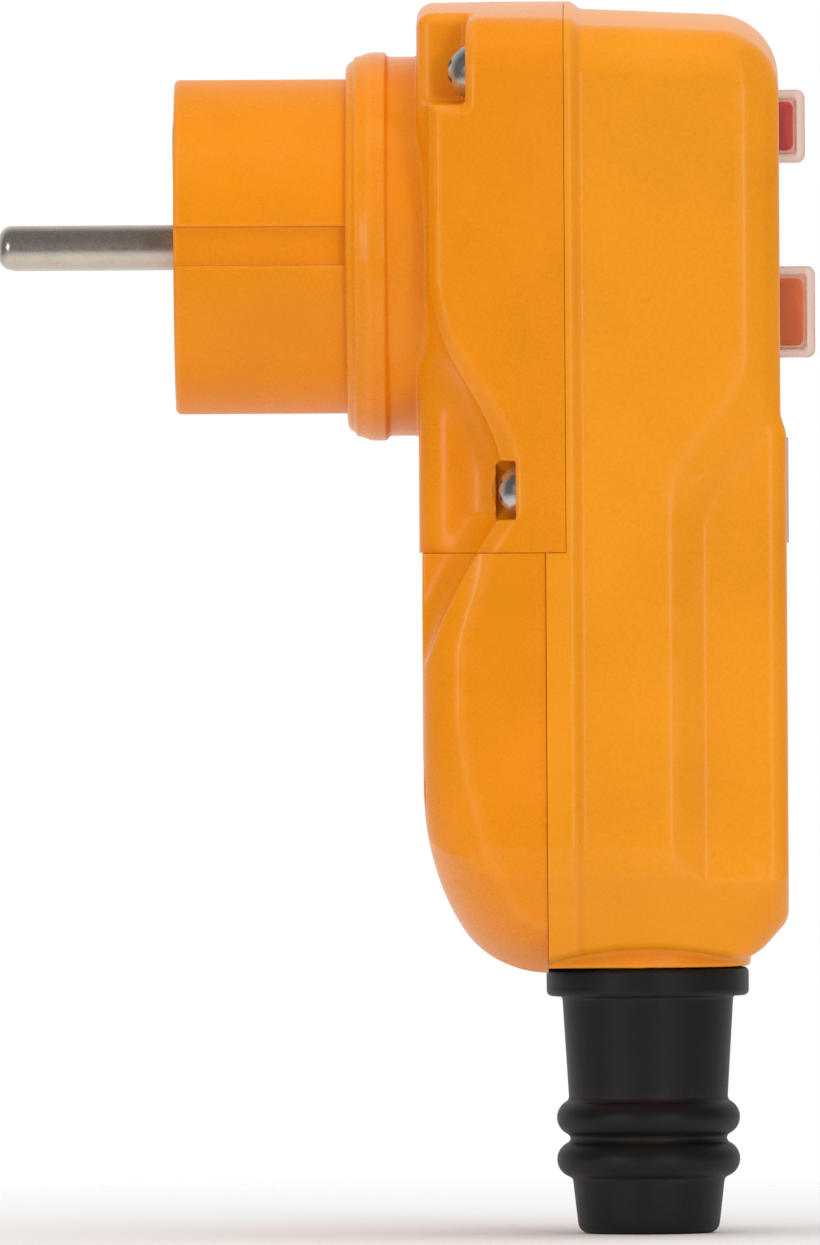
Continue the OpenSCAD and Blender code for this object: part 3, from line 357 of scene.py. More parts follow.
def mark_bends(mesh, shape, places):
    """Keeps how sharply the surface bends out and in, from 0 to 1, for the materials."""
    bend = -6 * shape(places)
    for axis, way in itertools.product(range(3), (-bend_reach, bend_reach)):
        step = np.zeros((3, 1))
        step[axis] = way
        bend = bend + shape(places + step)
    bend = bend / bend_reach ** 2
    for name, amount in (("bend_out", bend), ("bend_in", -bend)):
        layer = mesh.attributes.new(name, "FLOAT", "POINT")
        layer.data.foreach_set("value", np.clip(amount, 0, 1).astype(np.float32))


def moulded(name, shape, low, high, step, most_faces, cuts=()):
    """A smooth piece from a shape, thinned to so many triangles and cut flat by planes."""
    points, faces = net_around(shape, low, high, step)
    piece = new_object(name, points.T, faces)
    thin = piece.modifiers.new("thin", "DECIMATE")
    thin.ratio = min(1.0, most_faces / (2 * len(faces)))
    apply_modifiers(piece)
    places = slide_onto(shape, places_of(piece.data), step, rounds=2)
    piece.data.vertices.foreach_set("co", (places.T * MM).astype(np.float32).ravel())
    open_edges = 0
    for sides in cuts:
        open_edges = trim(piece.data, *sides)
    places = places_of(piece.data)
    planes = [(axis, value) for sides in cuts for axis, value, _ in sides]
    set_normals(piece.data, shape, places, step / slope_part, planes)
    mark_bends(piece.data, shape, places)
    print(name, "has", len(piece.data.polygons), "faces, thinned from", 2 * len(faces),
          "and", open_edges, "open edges")
    return piece


print("piece tools: set_normals, mark_bends, moulded")

# %% [markdown]
# ## Finger scoops
# The rear corners of the housing are scooped out for the fingers and for the lower screws. From the
# side the scoop's edge is an S: narrow at the top, wide at the screw, fading out on the cover. Below
# a bevel a steep wall drops to a flat floor. A scoop could be sculpted with a brush, but as planes
# that follow the S it stays exact, and both pieces that it crosses share it.

# %% The scoop's edge and floor
scoop_start_z = -3.0
scoop_wide_z = -25.0
scoop_fade_z = -29.0
scoop_fade_h = 27.0
scoop_fade_power = 1.8
scoop_reach = 10.8
scoop_top_reach = 2.1
scoop_low_reach = 0.6
scoop_bevel = 1.7
scoop_bevel_depth = 1.6
scoop_wall = 0.4
scoop_foot_r = 3.6
scoop_edge_r = 0.3
scoop_rear_r = 4.2
scoop_depth = 8.2
scoop_floor_y = half_w - scoop_depth
line_r = 0.12


def scoop_edge_x(z):
    """X of the scoop's edge at a height."""
    widening = ease((scoop_start_z - z) / (scoop_start_z - scoop_wide_z))
    upper = scoop_top_reach + (scoop_reach - scoop_top_reach) * widening
    fade = np.clip(1 - (scoop_fade_z - z) / scoop_fade_h, 0, 1) ** scoop_fade_power
    lower = scoop_low_reach + (scoop_reach - scoop_low_reach) * fade
    return rear_x + np.where(z > scoop_wide_z, upper, lower)


def lean_of(edge_x, z, reach=0.2):
    """How much the X of an edge grows with the height."""
    return (edge_x(z + reach) - edge_x(z - reach)) / (2 * reach)


def stretch(steep, lean):
    """How much longer a fall along Y is than the distance to a leaning slope."""
    return np.sqrt(1 + steep ** 2 * (1 + lean ** 2))


def sloping(p, start, top_y, steep, lean):
    """Distance to a slope that falls from a height as X goes back behind a line."""
    return (np.abs(p[1]) - top_y + (start - p[0]) * steep) / stretch(steep, lean)


def scooped_side(p, bevelled=True):
    """Distance past the scoop's bevel, its wall and its floor."""
    edge = scoop_edge_x(p[2])
    lean = lean_of(scoop_edge_x, p[2])
    ledge_y = side_y - scoop_bevel_depth
    wall_side = sloping(p, edge - scoop_bevel, ledge_y, (ledge_y - scoop_floor_y) / scoop_wall, lean)
    if bevelled:
        bevel = sloping(p, edge, side_y, scoop_bevel_depth / scoop_bevel, lean)
        wall_side = crossed(bevel, wall_side, line_r)
    return joined(wall_side, np.abs(p[1]) - scoop_floor_y, scoop_foot_r)


scoop_ends = [float(scoop_edge_x(np.array(z))) for z in (scoop_start_z, scoop_wide_z)]
print(f"scoop edge from X {scoop_ends[0]:.1f} to {scoop_ends[1]:.1f}")

# %% [markdown]
# ## Rear shell
# The rear shell carries the plug body in a round collar. It is a box with a flared rim, narrower
# towards the rear, with stepped pockets for four screws and the two scoops. It is modelled hollow,
# with its bosses, so that it holds what the CAD model puts inside it.

# %% Screws and plug in the rear shell
screw_low, screw_high = node_box("housing_screws")
head_r = 2.9
head_gap = 0.25
head_room = head_r + head_gap
screw_hole_r = 2.0
screw_y = screw_high[1] - head_r
upper_screw_z = screw_high[2] - head_r
lower_screw_z = screw_low[2] + head_r
upper_seat_depth = 5.4
lower_seat_depth = 10.6
upper_seat_x = rear_x + upper_seat_depth
lower_seat_x = rear_x + lower_seat_depth
plug_end_x = node_box("plug_insert")[1][0]
plug_lip_r = node_box("plug_insert")[1][2]
plug_lip = 0.7
plug_r = plug_lip_r - plug_lip
print(f"screws {2 * screw_y:.1f} apart, plug body {2 * plug_r:.1f} across")

# %% Collar
collar_face_r = 19.75
collar_flare = 0.56
collar_r = 21.1
collar_w = 4.4
collar_edge_r = 0.35
collar_neck_r = 20.6
neck_start = 1.0
neck_end = 2.0


def collar(p):
    """The collar and neck around the plug body, turned about the X axis."""
    radius = np.hypot(p[1], p[2])
    cone = (radius - collar_face_r - (p[0] - collar_x) * collar_flare) / math.hypot(1, collar_flare)
    ring = crossed(crossed(radius - collar_r, cone, r=0.25), collar_x - p[0], soft)
    ring = crossed(ring, p[0] - collar_x - collar_w, collar_edge_r)
    neck_ends = np.maximum(collar_x + neck_start - p[0], p[0] - rear_x - neck_end)
    neck = crossed(radius - collar_neck_r, neck_ends, sharp)
    return joined(ring, neck, collar_edge_r)


print(f"collar {2 * collar_r:.1f} across")

# %% Room inside the rear shell
far = 120.0
spare = 1.0
plug_gap = 0.1
lip_seat = 3.9
bore_x = 10.0
boss_r = 3.6
boss_wall = 2.6
shelf_depth = 5.3
shelf_foot = 5.0
shelf_head = 3.0
room_r = 0.8


def over_crown(p, z):
    """Height over a top that falls towards the sides from a height in the middle."""
    return p[2] + p[1] ** 2 / (2 * crown_r) - z


def rear_hollow(p):
    """Room inside the rear shell, and the bore that holds the plug body."""
    w = np.abs(p[1])
    inner_y = screw_y - head_r - boss_wall
    room = block(p, (plug_end_x, -inner_y, split_z + wall), (far, inner_y, far), room_r)
    room = crossed(room, over_crown(p, top_z - wall), room_r)
    shelf = block((p[0], w, p[2]), (seam_x - shelf_depth, 0, lower_screw_z + boss_r + shelf_foot),
                  (far, side_y - wall, upper_screw_z - boss_r - shelf_head), room_r)
    bore = joined(bar_x(p, bore_x, plug_end_x + spare, plug_r + plug_gap),
                  bar_x(p, collar_x + lip_seat, plug_end_x + spare, plug_lip_r + plug_gap), sharp)
    return np.minimum(np.minimum(room, shelf), bore)


print(f"the top falls {half_w ** 2 / (2 * crown_r):.1f} towards the sides")

# %% Rear shell
shell_step = 0.26
flare_w = 3.5
taper = 0.8
taper_w = 3.0
rear_fall = 0.12
rear_fall_w = 8.0
rear_edge_r = 1.9
notch_side_gap = 0.1
notch_foot_gap = 0.6
notch_tilt = 0.08
notch_edge_r = 1.2
notch_y = screw_y - head_room - notch_side_gap
notch_z = upper_screw_z - head_room - notch_foot_gap


def rear_shell_shape(p):
    """The rear shell with its collar, notches, scoops, pockets, room and screw holes."""
    w = np.abs(p[1])
    side = w - np.interp(p[0], (rear_x, rear_x + taper_w, seam_x - flare_w, seam_x),
                         (side_y - taper, side_y - taper / 2, waist_y, half_w))
    fall = rear_fall * np.maximum(seam_x - rear_fall_w - p[0], 0) / rear_fall_w
    body = crossed(side, over_crown(p, top_z) + fall, edge_r)
    m = (p[0], w, p[2])
    tilted = (p[0], w, p[2] - notch_tilt * (side_y - w))
    notch = block(tilted, (rear_x - far, notch_y, notch_z), (upper_seat_x, far, far), soft)
    body = crossed(cut(body, notch, notch_edge_r), rear_x - p[0], rear_edge_r)
    body = crossed(body, crossed(scooped_side(p), rear_x - p[0], scoop_rear_r), scoop_edge_r)
    body = joined(body, collar(p), soft)
    mouth = lower_seat_x - scoop_bevel - scoop_wall
    pocket = joined(bar_x(m, mouth, lower_seat_x, head_room, screw_y, lower_screw_z),
                    block(m, (mouth, screw_y, lower_screw_z - head_room),
                          (lower_seat_x, far, lower_screw_z + head_room), sharp), sharp)
    body = cut(body, pocket, r=0.3)
    body = cut(body, rear_hollow(p), r=0.15)
    for z in (upper_screw_z, lower_screw_z):
        body = cut(body, bar_x(m, rear_x, far, screw_hole_r, screw_y, z), sharp)
    return np.maximum(body, np.maximum(p[0] - seam_x - spare, split_z - spare - p[2]))


rear_end, rear_foot = seam_x - seam_gap, split_z + seam_gap
rear_shell = moulded("rear_shell_moulding", rear_shell_shape, (collar_x, -half_w, split_z - spare),
                     (seam_x + spare, half_w, top_z), shell_step, most_faces=90000,
                     cuts=[[(0, rear_end, 1)], [(2, rear_foot, -1)]])
put_on_body(rear_shell, "housing", "rear_orange", "rear_shell")

# %% [markdown]
# ## Front shell
# The front shell is the deeper half. A bead runs around it at the seam, its nose is well rounded at
# the top, its toe is cut off at the bottom, and both lower edges slant in like hips. A shallow grip
# is pressed into each side at the front, and the bottom arches up around a lip that holds the cable
# sleeve. The bead is made by letting the walls swell near the seam.

# %% Hips and grips
hip_r = 1.5
floor_r = 1.0
grip_start_z = -12.2
grip_rise = 15.0
grip_lag = 4.0
grip_edge = 4.4
grip_reach = 12.6
grip_depth = 1.8
grip_band = 3.7


def hips(p, half, low_z):
    """The housing's cross section: straight sides, slanted in towards the bottom."""
    w = np.abs(p[1])
    slant = ((w - half) * hip_h + (hip_z - p[2]) * hip_w) / math.hypot(hip_h, hip_w)
    return crossed(crossed(w - half, slant, hip_r), low_z - p[2], floor_r)


def grip_edge_x(z):
    """X of the grip's outer edge at a height."""
    return panel_x - grip_edge - (grip_reach - grip_edge) * ease((grip_start_z - z) / grip_rise)


def gripped_side(p):
    """Distance past the grip's sloping band and its floor."""
    start = grip_edge_x(p[2])
    width = grip_edge_x(p[2] + grip_lag) + grip_band - start
    steep = grip_depth / width
    band = np.abs(p[1]) - (side_y - (p[0] - start) * steep)
    floor = np.abs(p[1]) - (side_y - grip_depth)
    return joined(band / stretch(steep, lean_of(grip_edge_x, p[2])), floor, line_r)


print(f"grips {grip_depth:.1f} deep, from Z {grip_start_z:.1f} down")

# %% Room inside the front shell
top_fall = 0.7
front_in = front_x - wall
board_gap = 3.3
board_front = seam_x + board_gap
wide_r = 0.6
wide_top_gap = 0.2
wide_foot = 1.0
deep_y = 21.5
deep_foot = 3.0
sleeve_low, sleeve_high = node_box("cable_sleeve")
sleeve_x = (sleeve_low[0] + sleeve_high[0]) / 2
well_r = 11.2
well_floor = 3.2


def front_hollow(p):
    """Room inside the front shell, down to the sleeve's inner flange."""
    wide = block(p, (0, -side_y + wall, hip_z + wide_foot), (board_front, side_y - wall, far), wide_r)
    wide = crossed(wide, over_crown(p, front_top - wall - wide_top_gap), wide_r)
    deep = block(p, (0, -deep_y, hip_z - deep_foot), (front_in, deep_y, far), room_r)
    deep = crossed(deep, over_crown(p, front_top - top_fall - wall), room_r)
    well_z = bottom_z + well_floor
    well = joined(bar_z(p, well_z, hip_z, well_r, sleeve_x),
                  block(p, (0, -well_r, well_z), (sleeve_x, well_r, hip_z)), crisp)
    return np.minimum(np.minimum(wide, deep), well)


print(f"room {2 * deep_y:.1f} wide behind a wall of {wall:.1f}")

# %% Openings of the front shell
boot_flange = 1.2
boot_slack = 0.2
boot_hole_r = 1.6
hole_end_x = 140.0
boots = {name: node_box(name) for name in ("reset_boot", "test_boot")}
neck_r = 9.1
way_h = 5.0


def boot_size(name):
    """Width, height and middle height of a boot without its flange."""
    low, high = boots[name]
    return high[1] - low[1] - 2 * boot_flange, high[2] - low[2] - 2 * boot_flange, (low[2] + high[2]) / 2


for name in boots:
    print(name, "is {:.1f} wide and {:.1f} high at Z {:.1f}".format(*boot_size(name)))

# %% Front shell
nose_r = 6.5
toe_h = 5.3
toe_w = 4.6
toe_r = 0.6
bead_w = 0.5
bead_fade = 1.5
panel_top_z = -18.2
panel_fade = 2.7
side_edge_r = 2.2
edge_grow_z = 14.0
edge_grow_h = 6.0
lip_r = 11.2
lip_h = 0.5
lip_root = 4.0
lip_tab = 4.0
lip_edge_r = 0.4
arch_h = 1.6
post_len = 21.5
post_hole_len = 21.0


def front_shell_shape(p):
    """The front shell with its bead, grips, lip, room, screw posts and openings."""
    x, w, z = p[0], np.abs(p[1]), p[2]
    swell = rim_step * (1 - ease((x - seam_x - bead_w) / bead_fade))
    face = x - front_x - (panel_x - front_x) * ease((panel_top_z - z) / panel_fade)
    fall = top_fall * np.clip((x - rim_x) / (front_x - nose_r - rim_x), 0, 2)
    side = crossed(face, over_crown(p, front_top) + fall - swell, nose_r)
    toe = ((x - panel_x) * toe_h + (bottom_z + toe_h - z) * toe_w) / math.hypot(toe_h, toe_w)
    side = crossed(side, toe, toe_r)
    arch = lip_h + arch_h * np.clip(1 - ((x - sleeve_x) / lip_r) ** 2, 0, 1)
    around = crossed(hips(p, side_y + swell, bottom_z + arch), gripped_side(p), line_r)
    body = crossed(around, side, side_edge_r + (edge_r - side_edge_r) * ease((z - edge_grow_z) / edge_grow_h))
    lip_top = bottom_z + lip_root
    lip = joined(bar_z(p, bottom_z, lip_top, lip_r, sleeve_x, lip_edge_r),
                 block(p, (cover_x - lip_tab, -lip_r, bottom_z), (sleeve_x, lip_r, lip_top),
                       lip_edge_r), sharp)
    body = joined(body, lip, r=0.6)
    body = cut(body, front_hollow(p), crisp)
    m = (x, w, z)
    for seat, height in ((upper_seat_x, upper_screw_z), (lower_seat_x, lower_screw_z)):
        post = bar_x(m, seam_x, seat + post_len, boss_r, screw_y, height)
        body = joined(body, crossed(post, around, sharp), sharp)
        body = cut(body, bar_x(m, 0, seat + post_hole_len, screw_hole_r, screw_y, height), sharp)
    for name in boots:
        width, height, middle = boot_size(name)
        hole = pad(p, front_in - spare, hole_end_x, width + boot_slack, height + boot_slack,
                   boot_hole_r, middle)
        body = cut(body, hole, r=0.25)
    way = joined(bar_z(p, bottom_z - way_h, bottom_z + way_h, neck_r, sleeve_x),
                 block(p, (0, -neck_r, bottom_z - way_h), (sleeve_x, neck_r, bottom_z + way_h), sharp), sharp)
    body = cut(body, way, r=0.3)
    return np.maximum(body, cover_x - spare - x)


front_end, tab_end, tab_top = seam_x + seam_gap, cover_x + seam_gap, split_z - seam_gap
front_shell = moulded("front_shell_moulding", front_shell_shape, (cover_x - spare, -half_w, bottom_z),
                      (panel_x, half_w, top_z), shell_step, most_faces=100000,
                      cuts=[[(0, front_end, -1), (2, tab_top, 1)], [(0, tab_end, -1)]])
put_on_body(front_shell, "housing", "front_orange", "front_shell")

# %% [markdown]
# ## Terminal cover
# The cover closes the lower rear, where the cable is wired. Its back sweeps forward to the cable
# sleeve. The corner between its back and its sides is faceted: the round corner of a slightly wider
# cover, cut by the side walls, leaves the fine crease that can be seen on the real one.

# %% The cover's back
cover_sweep = 22.0
hair = 0.01


def cover_back(p):
    """Distance to the cover's back, straight above and an elliptic sweep below."""
    deep = cover_x - cover_rear_x
    u = np.minimum(p[0] - cover_x, -hair) / deep
    v = np.minimum(p[2] - cover_z - cover_sweep, 0) / cover_sweep
    size = np.hypot(u, v)
    return (size - 1) * size / np.sqrt((u / deep) ** 2 + (v / cover_sweep) ** 2)


print(f"the back sweeps in over the lowest {cover_sweep:.1f}")

# %% Terminal cover
crease = 0.5
crease_r = 6.5
crease_top_r = 9.8
crease_top_h = 12.0
crease_low_r = 9.3
crease_low_start = 17.0
crease_low_h = 16.0
cover_screw_low, cover_screw_high = node_box("cover_screws")
cover_head_r = 2.6
cover_screw_y = cover_screw_high[1] - cover_head_r
cover_screw_z = (cover_screw_low[2] + cover_screw_high[2]) / 2
cover_seat_depth = 5.3
cover_seat_x = cover_rear_x + cover_seat_depth
cover_boss_r = 4.0
cover_boss_x = cover_rear_x + 3.0
cover_foot_z = cover_z - 3.0
cover_pocket_r = 3.0
cover_hole_r = 1.35
cover_room_y = 20.0
cover_back_wall = 0.3
cover_room_slant = 14.4
below_floor = 9.0


def cover_shape(p):
    """The cover with its facets, scoops, room, screw bosses and the way for the sleeve."""
    x, w, z = p[0], np.abs(p[1]), p[2]
    half = np.interp(x, (seam_x - flare_w, seam_x), (waist_y, half_w))
    across = hips(p, half, cover_foot_z)
    back = cover_back(p)
    below = split_z - z
    corner_r = (crease_r + (crease_top_r - crease_r) * ease((crease_top_h - below) / crease_top_h)
                + (crease_low_r - crease_r) * ease((below - crease_low_start) / crease_low_h))
    facet = crossed(across - crease, back, corner_r)
    body = crossed(across, facet, sharp)
    body = crossed(body, scooped_side(p, bevelled=False), crisp)
    room = block(p, (0, -cover_room_y, cover_z), (far, cover_room_y, split_z - wall), soft)
    room = crossed(room, back + wall + cover_back_wall, soft)
    room = np.maximum(room, np.maximum(across + wall, facet + wall))
    room = np.maximum(room, (w - x + cover_room_slant) / math.sqrt(2))
    body = cut(body, room, crisp)
    m = (x, w, z)
    body = joined(body, bar_x(m, cover_boss_x, far, cover_boss_r, cover_screw_y, cover_screw_z), crisp)
    body = cut(body, bar_x(m, 0, cover_seat_x, cover_pocket_r, cover_screw_y, cover_screw_z), soft)
    body = cut(body, bar_x(m, 0, far, cover_hole_r, cover_screw_y, cover_screw_z), sharp)
    body = cut(body, bar_z(p, bottom_z - below_floor, far, neck_r, sleeve_x), crisp)
    body = cut(body, bar_z(p, bottom_z - below_floor, bottom_z, lip_r, sleeve_x), r=0.3)
    return np.maximum(body, np.maximum(x - cover_x - spare, z - split_z - spare))


cover_end = cover_x - seam_gap
terminal_cover = moulded("terminal_cover_moulding", cover_shape, (cover_rear_x, -half_w, cover_z),
                         (cover_x + spare, half_w, split_z + spare), shell_step, most_faces=90000,
                         cuts=[[(0, cover_end, 1)], [(2, tab_top, 1)]])
put_on_body(terminal_cover, "housing", "rear_orange", "terminal_cover")

# %% [markdown]
# ## Main seal
# A rubber cord lies in a groove around the seam. It follows the outline of the shells a little inside
# them, also under the crowned top, so that only the seam's fine line shows.

# %% Main seal
seal_low, seal_high = node_box("housing_seal")
seal_w = 1.0
seal_t = 0.9
seal_corner_r = 3.6
small_step = 0.3


def seal_shape(p):
    """A flat ring that follows the outline of the shells."""
    outside = crossed(np.abs(p[1]) - seal_high[1], over_crown(p, seal_high[2]), seal_corner_r)
    outside = crossed(outside, seal_low[2] - p[2], seal_corner_r)
    ring = cut(outside, outside + seal_w, sharp)
    return crossed(ring, np.abs(p[0] - (seal_low[0] + seal_high[0]) / 2) - seal_t / 2, sharp)


housing_seal = moulded("housing_seal_cord", seal_shape, seal_low, seal_high, small_step, most_faces=20000)
put_on_body(housing_seal, "housing", "seal_rubber", "housing_seal")

# %% [markdown]
# ## Plug body and pins
# The plug body is a round block in the collar. Two guide grooves run along its sides, two slots hold
# the earth contacts, and the earth socket opens above its middle. The pins are turned from bar: thick
# outside, thinner inside, with a head behind the plug's face and a domed tip.

# %% Plug body
pin_low, pin_high = node_box("line_pin")
pin_y = (pin_low[1] + pin_high[1]) / 2
pin_r = 2.4
pin_neck = 0.3
pin_fit = 0.05
pin_edge_r = 0.05
pin_seat = 0.3
plug_floor = 16.0
plug_wall = 3.2
plug_edge_r = 0.6
lip_start = 4.0
lip_x = collar_x + lip_start
ahead_x = -9.0
guide_lap = 0.4
guide_end_x = collar_x + guide_lap
groove_depth = 0.8
groove_half = 2.1
slot_depth = 3.3
slot_half = 4.3
earth_hole_r = 2.5
eyelet_depth = 1.2
eyelet_gap = 0.1
eyelet_low, eyelet_high = node_box("earth_eyelet")
earth_z = (eyelet_low[2] + eyelet_high[2]) / 2
eyelet_r = (eyelet_high[2] - eyelet_low[2]) / 2


def plug_shape(p):
    """The plug body with its grooves, slots, pin holes and earth socket."""
    m = (p[0], np.abs(p[1]), p[2])
    v = (p[0], p[1], np.abs(p[2]))
    body = joined(bar_x(p, 0, plug_end_x, plug_r, edge=plug_edge_r),
                  bar_x(p, lip_x, plug_end_x, plug_lip_r), sharp)
    body = cut(body, bar_x(p, plug_floor, far, plug_r - plug_wall), crisp)
    groove = block(m, (ahead_x, plug_r - groove_depth, -groove_half), (guide_end_x, far, groove_half))
    body = cut(body, groove, r=0.15)
    slot = block(v, (ahead_x, -slot_half, plug_r - slot_depth), (guide_end_x, slot_half, far), edge=0.3)
    body = cut(body, slot, r=0.25)
    body = cut(body, bar_x(m, ahead_x, pin_seat, pin_r + pin_fit, pin_y), sharp)
    body = cut(body, bar_x(m, ahead_x, far, pin_r - pin_neck + pin_fit, pin_y), pin_edge_r)
    body = cut(body, bar_x(p, ahead_x, eyelet_depth, eyelet_r + eyelet_gap, z=earth_z), r=0.15)
    return cut(body, bar_x(p, ahead_x, far, earth_hole_r, z=earth_z), sharp)


plug_body = moulded("plug_body_moulding", plug_shape, (0, -plug_lip_r, -plug_lip_r),
                    (plug_end_x, plug_lip_r, plug_lip_r), small_step, most_faces=95000)
put_on_body(plug_body, "housing", "plug_orange", "plug_insert")

# %% Pins
pin_out = 19.3
pin_tip = 9.0
pin_dome_r = 1.45
pin_head_r = 3.6
pin_head_edge_r = 0.4
pin_end_gap = 0.2
pin_step = 0.16


def pin_shape(p):
    """The line pin with its domed tip, its thinner shank and its head."""
    start_x = pin_low[0]
    domed = bar_x(p, start_x, start_x + pin_out, pin_r, pin_y, edge=pin_dome_r)
    straight = bar_x(p, start_x, start_x + pin_out, pin_r, pin_y, edge=pin_edge_r)
    rod = np.where(p[0] > start_x + pin_tip, straight, domed)
    shank = bar_x(p, start_x + pin_tip, pin_high[0] - pin_end_gap, pin_r - pin_neck, pin_y)
    head = bar_x(p, plug_floor, pin_high[0], pin_head_r, pin_y, edge=pin_head_edge_r)
    return joined(joined(rod, shank, pin_edge_r), head, sharp)


def other_pin_shape(p):
    """The neutral pin, a mirrored line pin."""
    return pin_shape((p[0], -p[1], p[2]))


for name, shape, node in (("line_pin_turned", pin_shape, "line_pin"),
                          ("neutral_pin_turned", other_pin_shape, "neutral_pin")):
    low, high = node_box(node)
    put_on_body(moulded(name, shape, low, high, pin_step, most_faces=24000), "housing", "nickel", node)

# %% [markdown]
# ## Cable sleeve
# The sleeve is moulded rubber: a grommet held in the floor, a flange below it and a tapered tail with
# two rings that let it bend. It is turned about the cable's axis, and its edges are soft.

# %% Cable sleeve
flange_r = (sleeve_high[0] - sleeve_low[0]) / 2
cable_r = 5.0
flange_h = 3.2
flange_low_z = bottom_z - flange_h
ring_drops = (16.4, 20.95)
ring_z = [bottom_z - drop for drop in ring_drops]
ring_middle_r = 7.95
ring_wire_r = 2.0
ring_root_r = 0.35
tail_z = sleeve_low[2]
tail_radii = (9.3, 8.5, 8.5, 7.7)
tail_edge_r = 1.2
taper_flatness = 0.99
grommet_gap = 0.1
grommet_step = 0.2
grommet_rise = 3.3
grommet_low_z = bottom_z + grommet_rise
lap = 1.0


def sleeve_shape(p):
    """The tail with its rings, the flange under the floor and the grommet above it."""
    r = np.hypot(p[0] - sleeve_x, p[1])
    z = p[2]
    tail_r = np.interp(-z, (-flange_low_z, -ring_z[0], -ring_z[1], -tail_z - lap), tail_radii)
    tail = crossed((r - tail_r) * taper_flatness, z - bottom_z + lap, sharp)
    tail = crossed(tail, tail_z - z, tail_edge_r)
    flange = bar_z(p, flange_low_z, bottom_z - grommet_gap, flange_r, sleeve_x, edge=0.6)
    body = joined(tail, flange, ring_root_r)
    for height in ring_z:
        ring = np.hypot(r - ring_middle_r, z - height) - ring_wire_r
        body = joined(body, ring, ring_root_r)
    body = joined(body, bar_z(p, bottom_z - lap, sleeve_high[2] - lap, neck_r - grommet_gap, sleeve_x), sharp)
    grommet = bar_z(p, grommet_low_z, sleeve_high[2], flange_r - grommet_step, sleeve_x, edge=0.4)
    body = joined(body, grommet, sharp)
    return cut(body, bar_z(p, tail_z - below_floor, far, cable_r, sleeve_x), r=0.4)


cable_sleeve = moulded("cable_sleeve_moulding", sleeve_shape, sleeve_low, sleeve_high, small_step,
                       most_faces=60000)
put_on_body(cable_sleeve, "housing", "black_rubber", "cable_sleeve")

# %% [markdown]
# ## Buttons and boots
# Each button is a hard cap on a stem, under a soft boot that keeps water out. The boot is clamped behind the
# front wall.

# %% Buttons
stop_x = node_box("test_spring")[1][0]
stop_t = 1.0
stop_w = 2.0
stop_corner_r = 1.4
cap_corner_r = 0.9
boot_wall = 0.85
boot_gap = 0.4
button_step = 0.2
for node, slot_name, body_name, boot_name, stem_r in (
        ("reset_button", "red_button", "reset", "reset_boot", 2.5),
        ("test_button", "amber_button", "test", "test_boot", 2.0)):
    low, high = node_box(node)
    width, height, middle = boot_size(boot_name)
    cap_w, cap_h = width - 2 * (boot_wall + boot_gap), height - 2 * (boot_wall + boot_gap)

    def button_shape(p, low=low, high=high, cap_w=cap_w, cap_h=cap_h, middle=middle, stem_r=stem_r):
        cap = pad(p, stop_x, high[0], cap_w, cap_h, cap_corner_r, middle, edge=0.8)
        stop = pad(p, stop_x, stop_x + stop_t, cap_w + stop_w, cap_h + stop_w, stop_corner_r, middle)
        stem = bar_x(p, low[0], stop_x + stop_t / 2, stem_r, z=middle)
        return joined(joined(cap, stop, sharp), stem, sharp)

    button = moulded(node + "_cap", button_shape, low, high, button_step, most_faces=20000)
    put_on_body(button, body_name, slot_name, node)

# %% Boots
boot_corner_r = 1.5
boot_edge_r = 0.9
boot_flange_r = 2.0
boot_open = 2.0


for node, joint in (("reset_boot", "reset_press"), ("test_boot", "test_press")):
    low, high = boots[node]
    width, height, middle = boot_size(node)

    def boot_shape(p, low=low, high=high, width=width, height=height, middle=middle):
        outer = pad(p, low[0], high[0], width, height, boot_corner_r, middle, boot_edge_r)
        flange = pad(p, low[0], front_in, width + 2 * boot_flange, height + 2 * boot_flange,
                     boot_flange_r, middle, edge=0.15)
        inner = pad(p, low[0] - boot_open, high[0] - boot_wall, width - 2 * boot_wall, height - 2 * boot_wall,
                    cap_corner_r, middle, soft)
        return cut(joined(outer, flange, sharp), inner, sharp)

    boot = moulded(node + "_moulding", boot_shape, low, high, button_step, most_faces=40000)
    put_on_body(boot, "housing", "silicone", node)
    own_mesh(boot)

# %% [markdown]
# ## Springs
# Two coils push the contact carrier back, and one returns the test button. Each stands between a fixed
# seat and the part that moves. A curve with a round bevel would look the same. Rings of points along
# the coil give an even tube.

# %% Springs
wire_r = 0.3
play = 0.02
around = 8
rings_per_turn = 24


def wound(low, high, turns, y):
    """Points and faces of a coil of wire along X, between the ends of a box."""
    rings = rings_per_turn * turns
    outer_r, z = (high[2] - low[2]) / 2, (low[2] + high[2]) / 2
    turn = np.linspace(0, math.tau * turns, rings + 1)[:, None]
    side = np.linspace(0, math.tau, around, endpoint=False)
    reach = outer_r - wire_r + wire_r * np.cos(side)
    start, end = low[0] + wire_r + play, high[0] - wire_r - play
    along = start + (end - start) * turn / turn[-1]
    points = np.stack([along + wire_r * np.sin(side), y + reach * np.cos(turn), z + reach * np.sin(turn)], -1)
    faces = [(i * around + j, (i + 1) * around + j,
              (i + 1) * around + (j + 1) % around, i * around + (j + 1) % around)
             for i in range(rings) for j in range(around)]
    ends = [tuple(range(around)), tuple(rings * around + j for j in reversed(range(around)))]
    return points.reshape(-1, 3), faces + ends


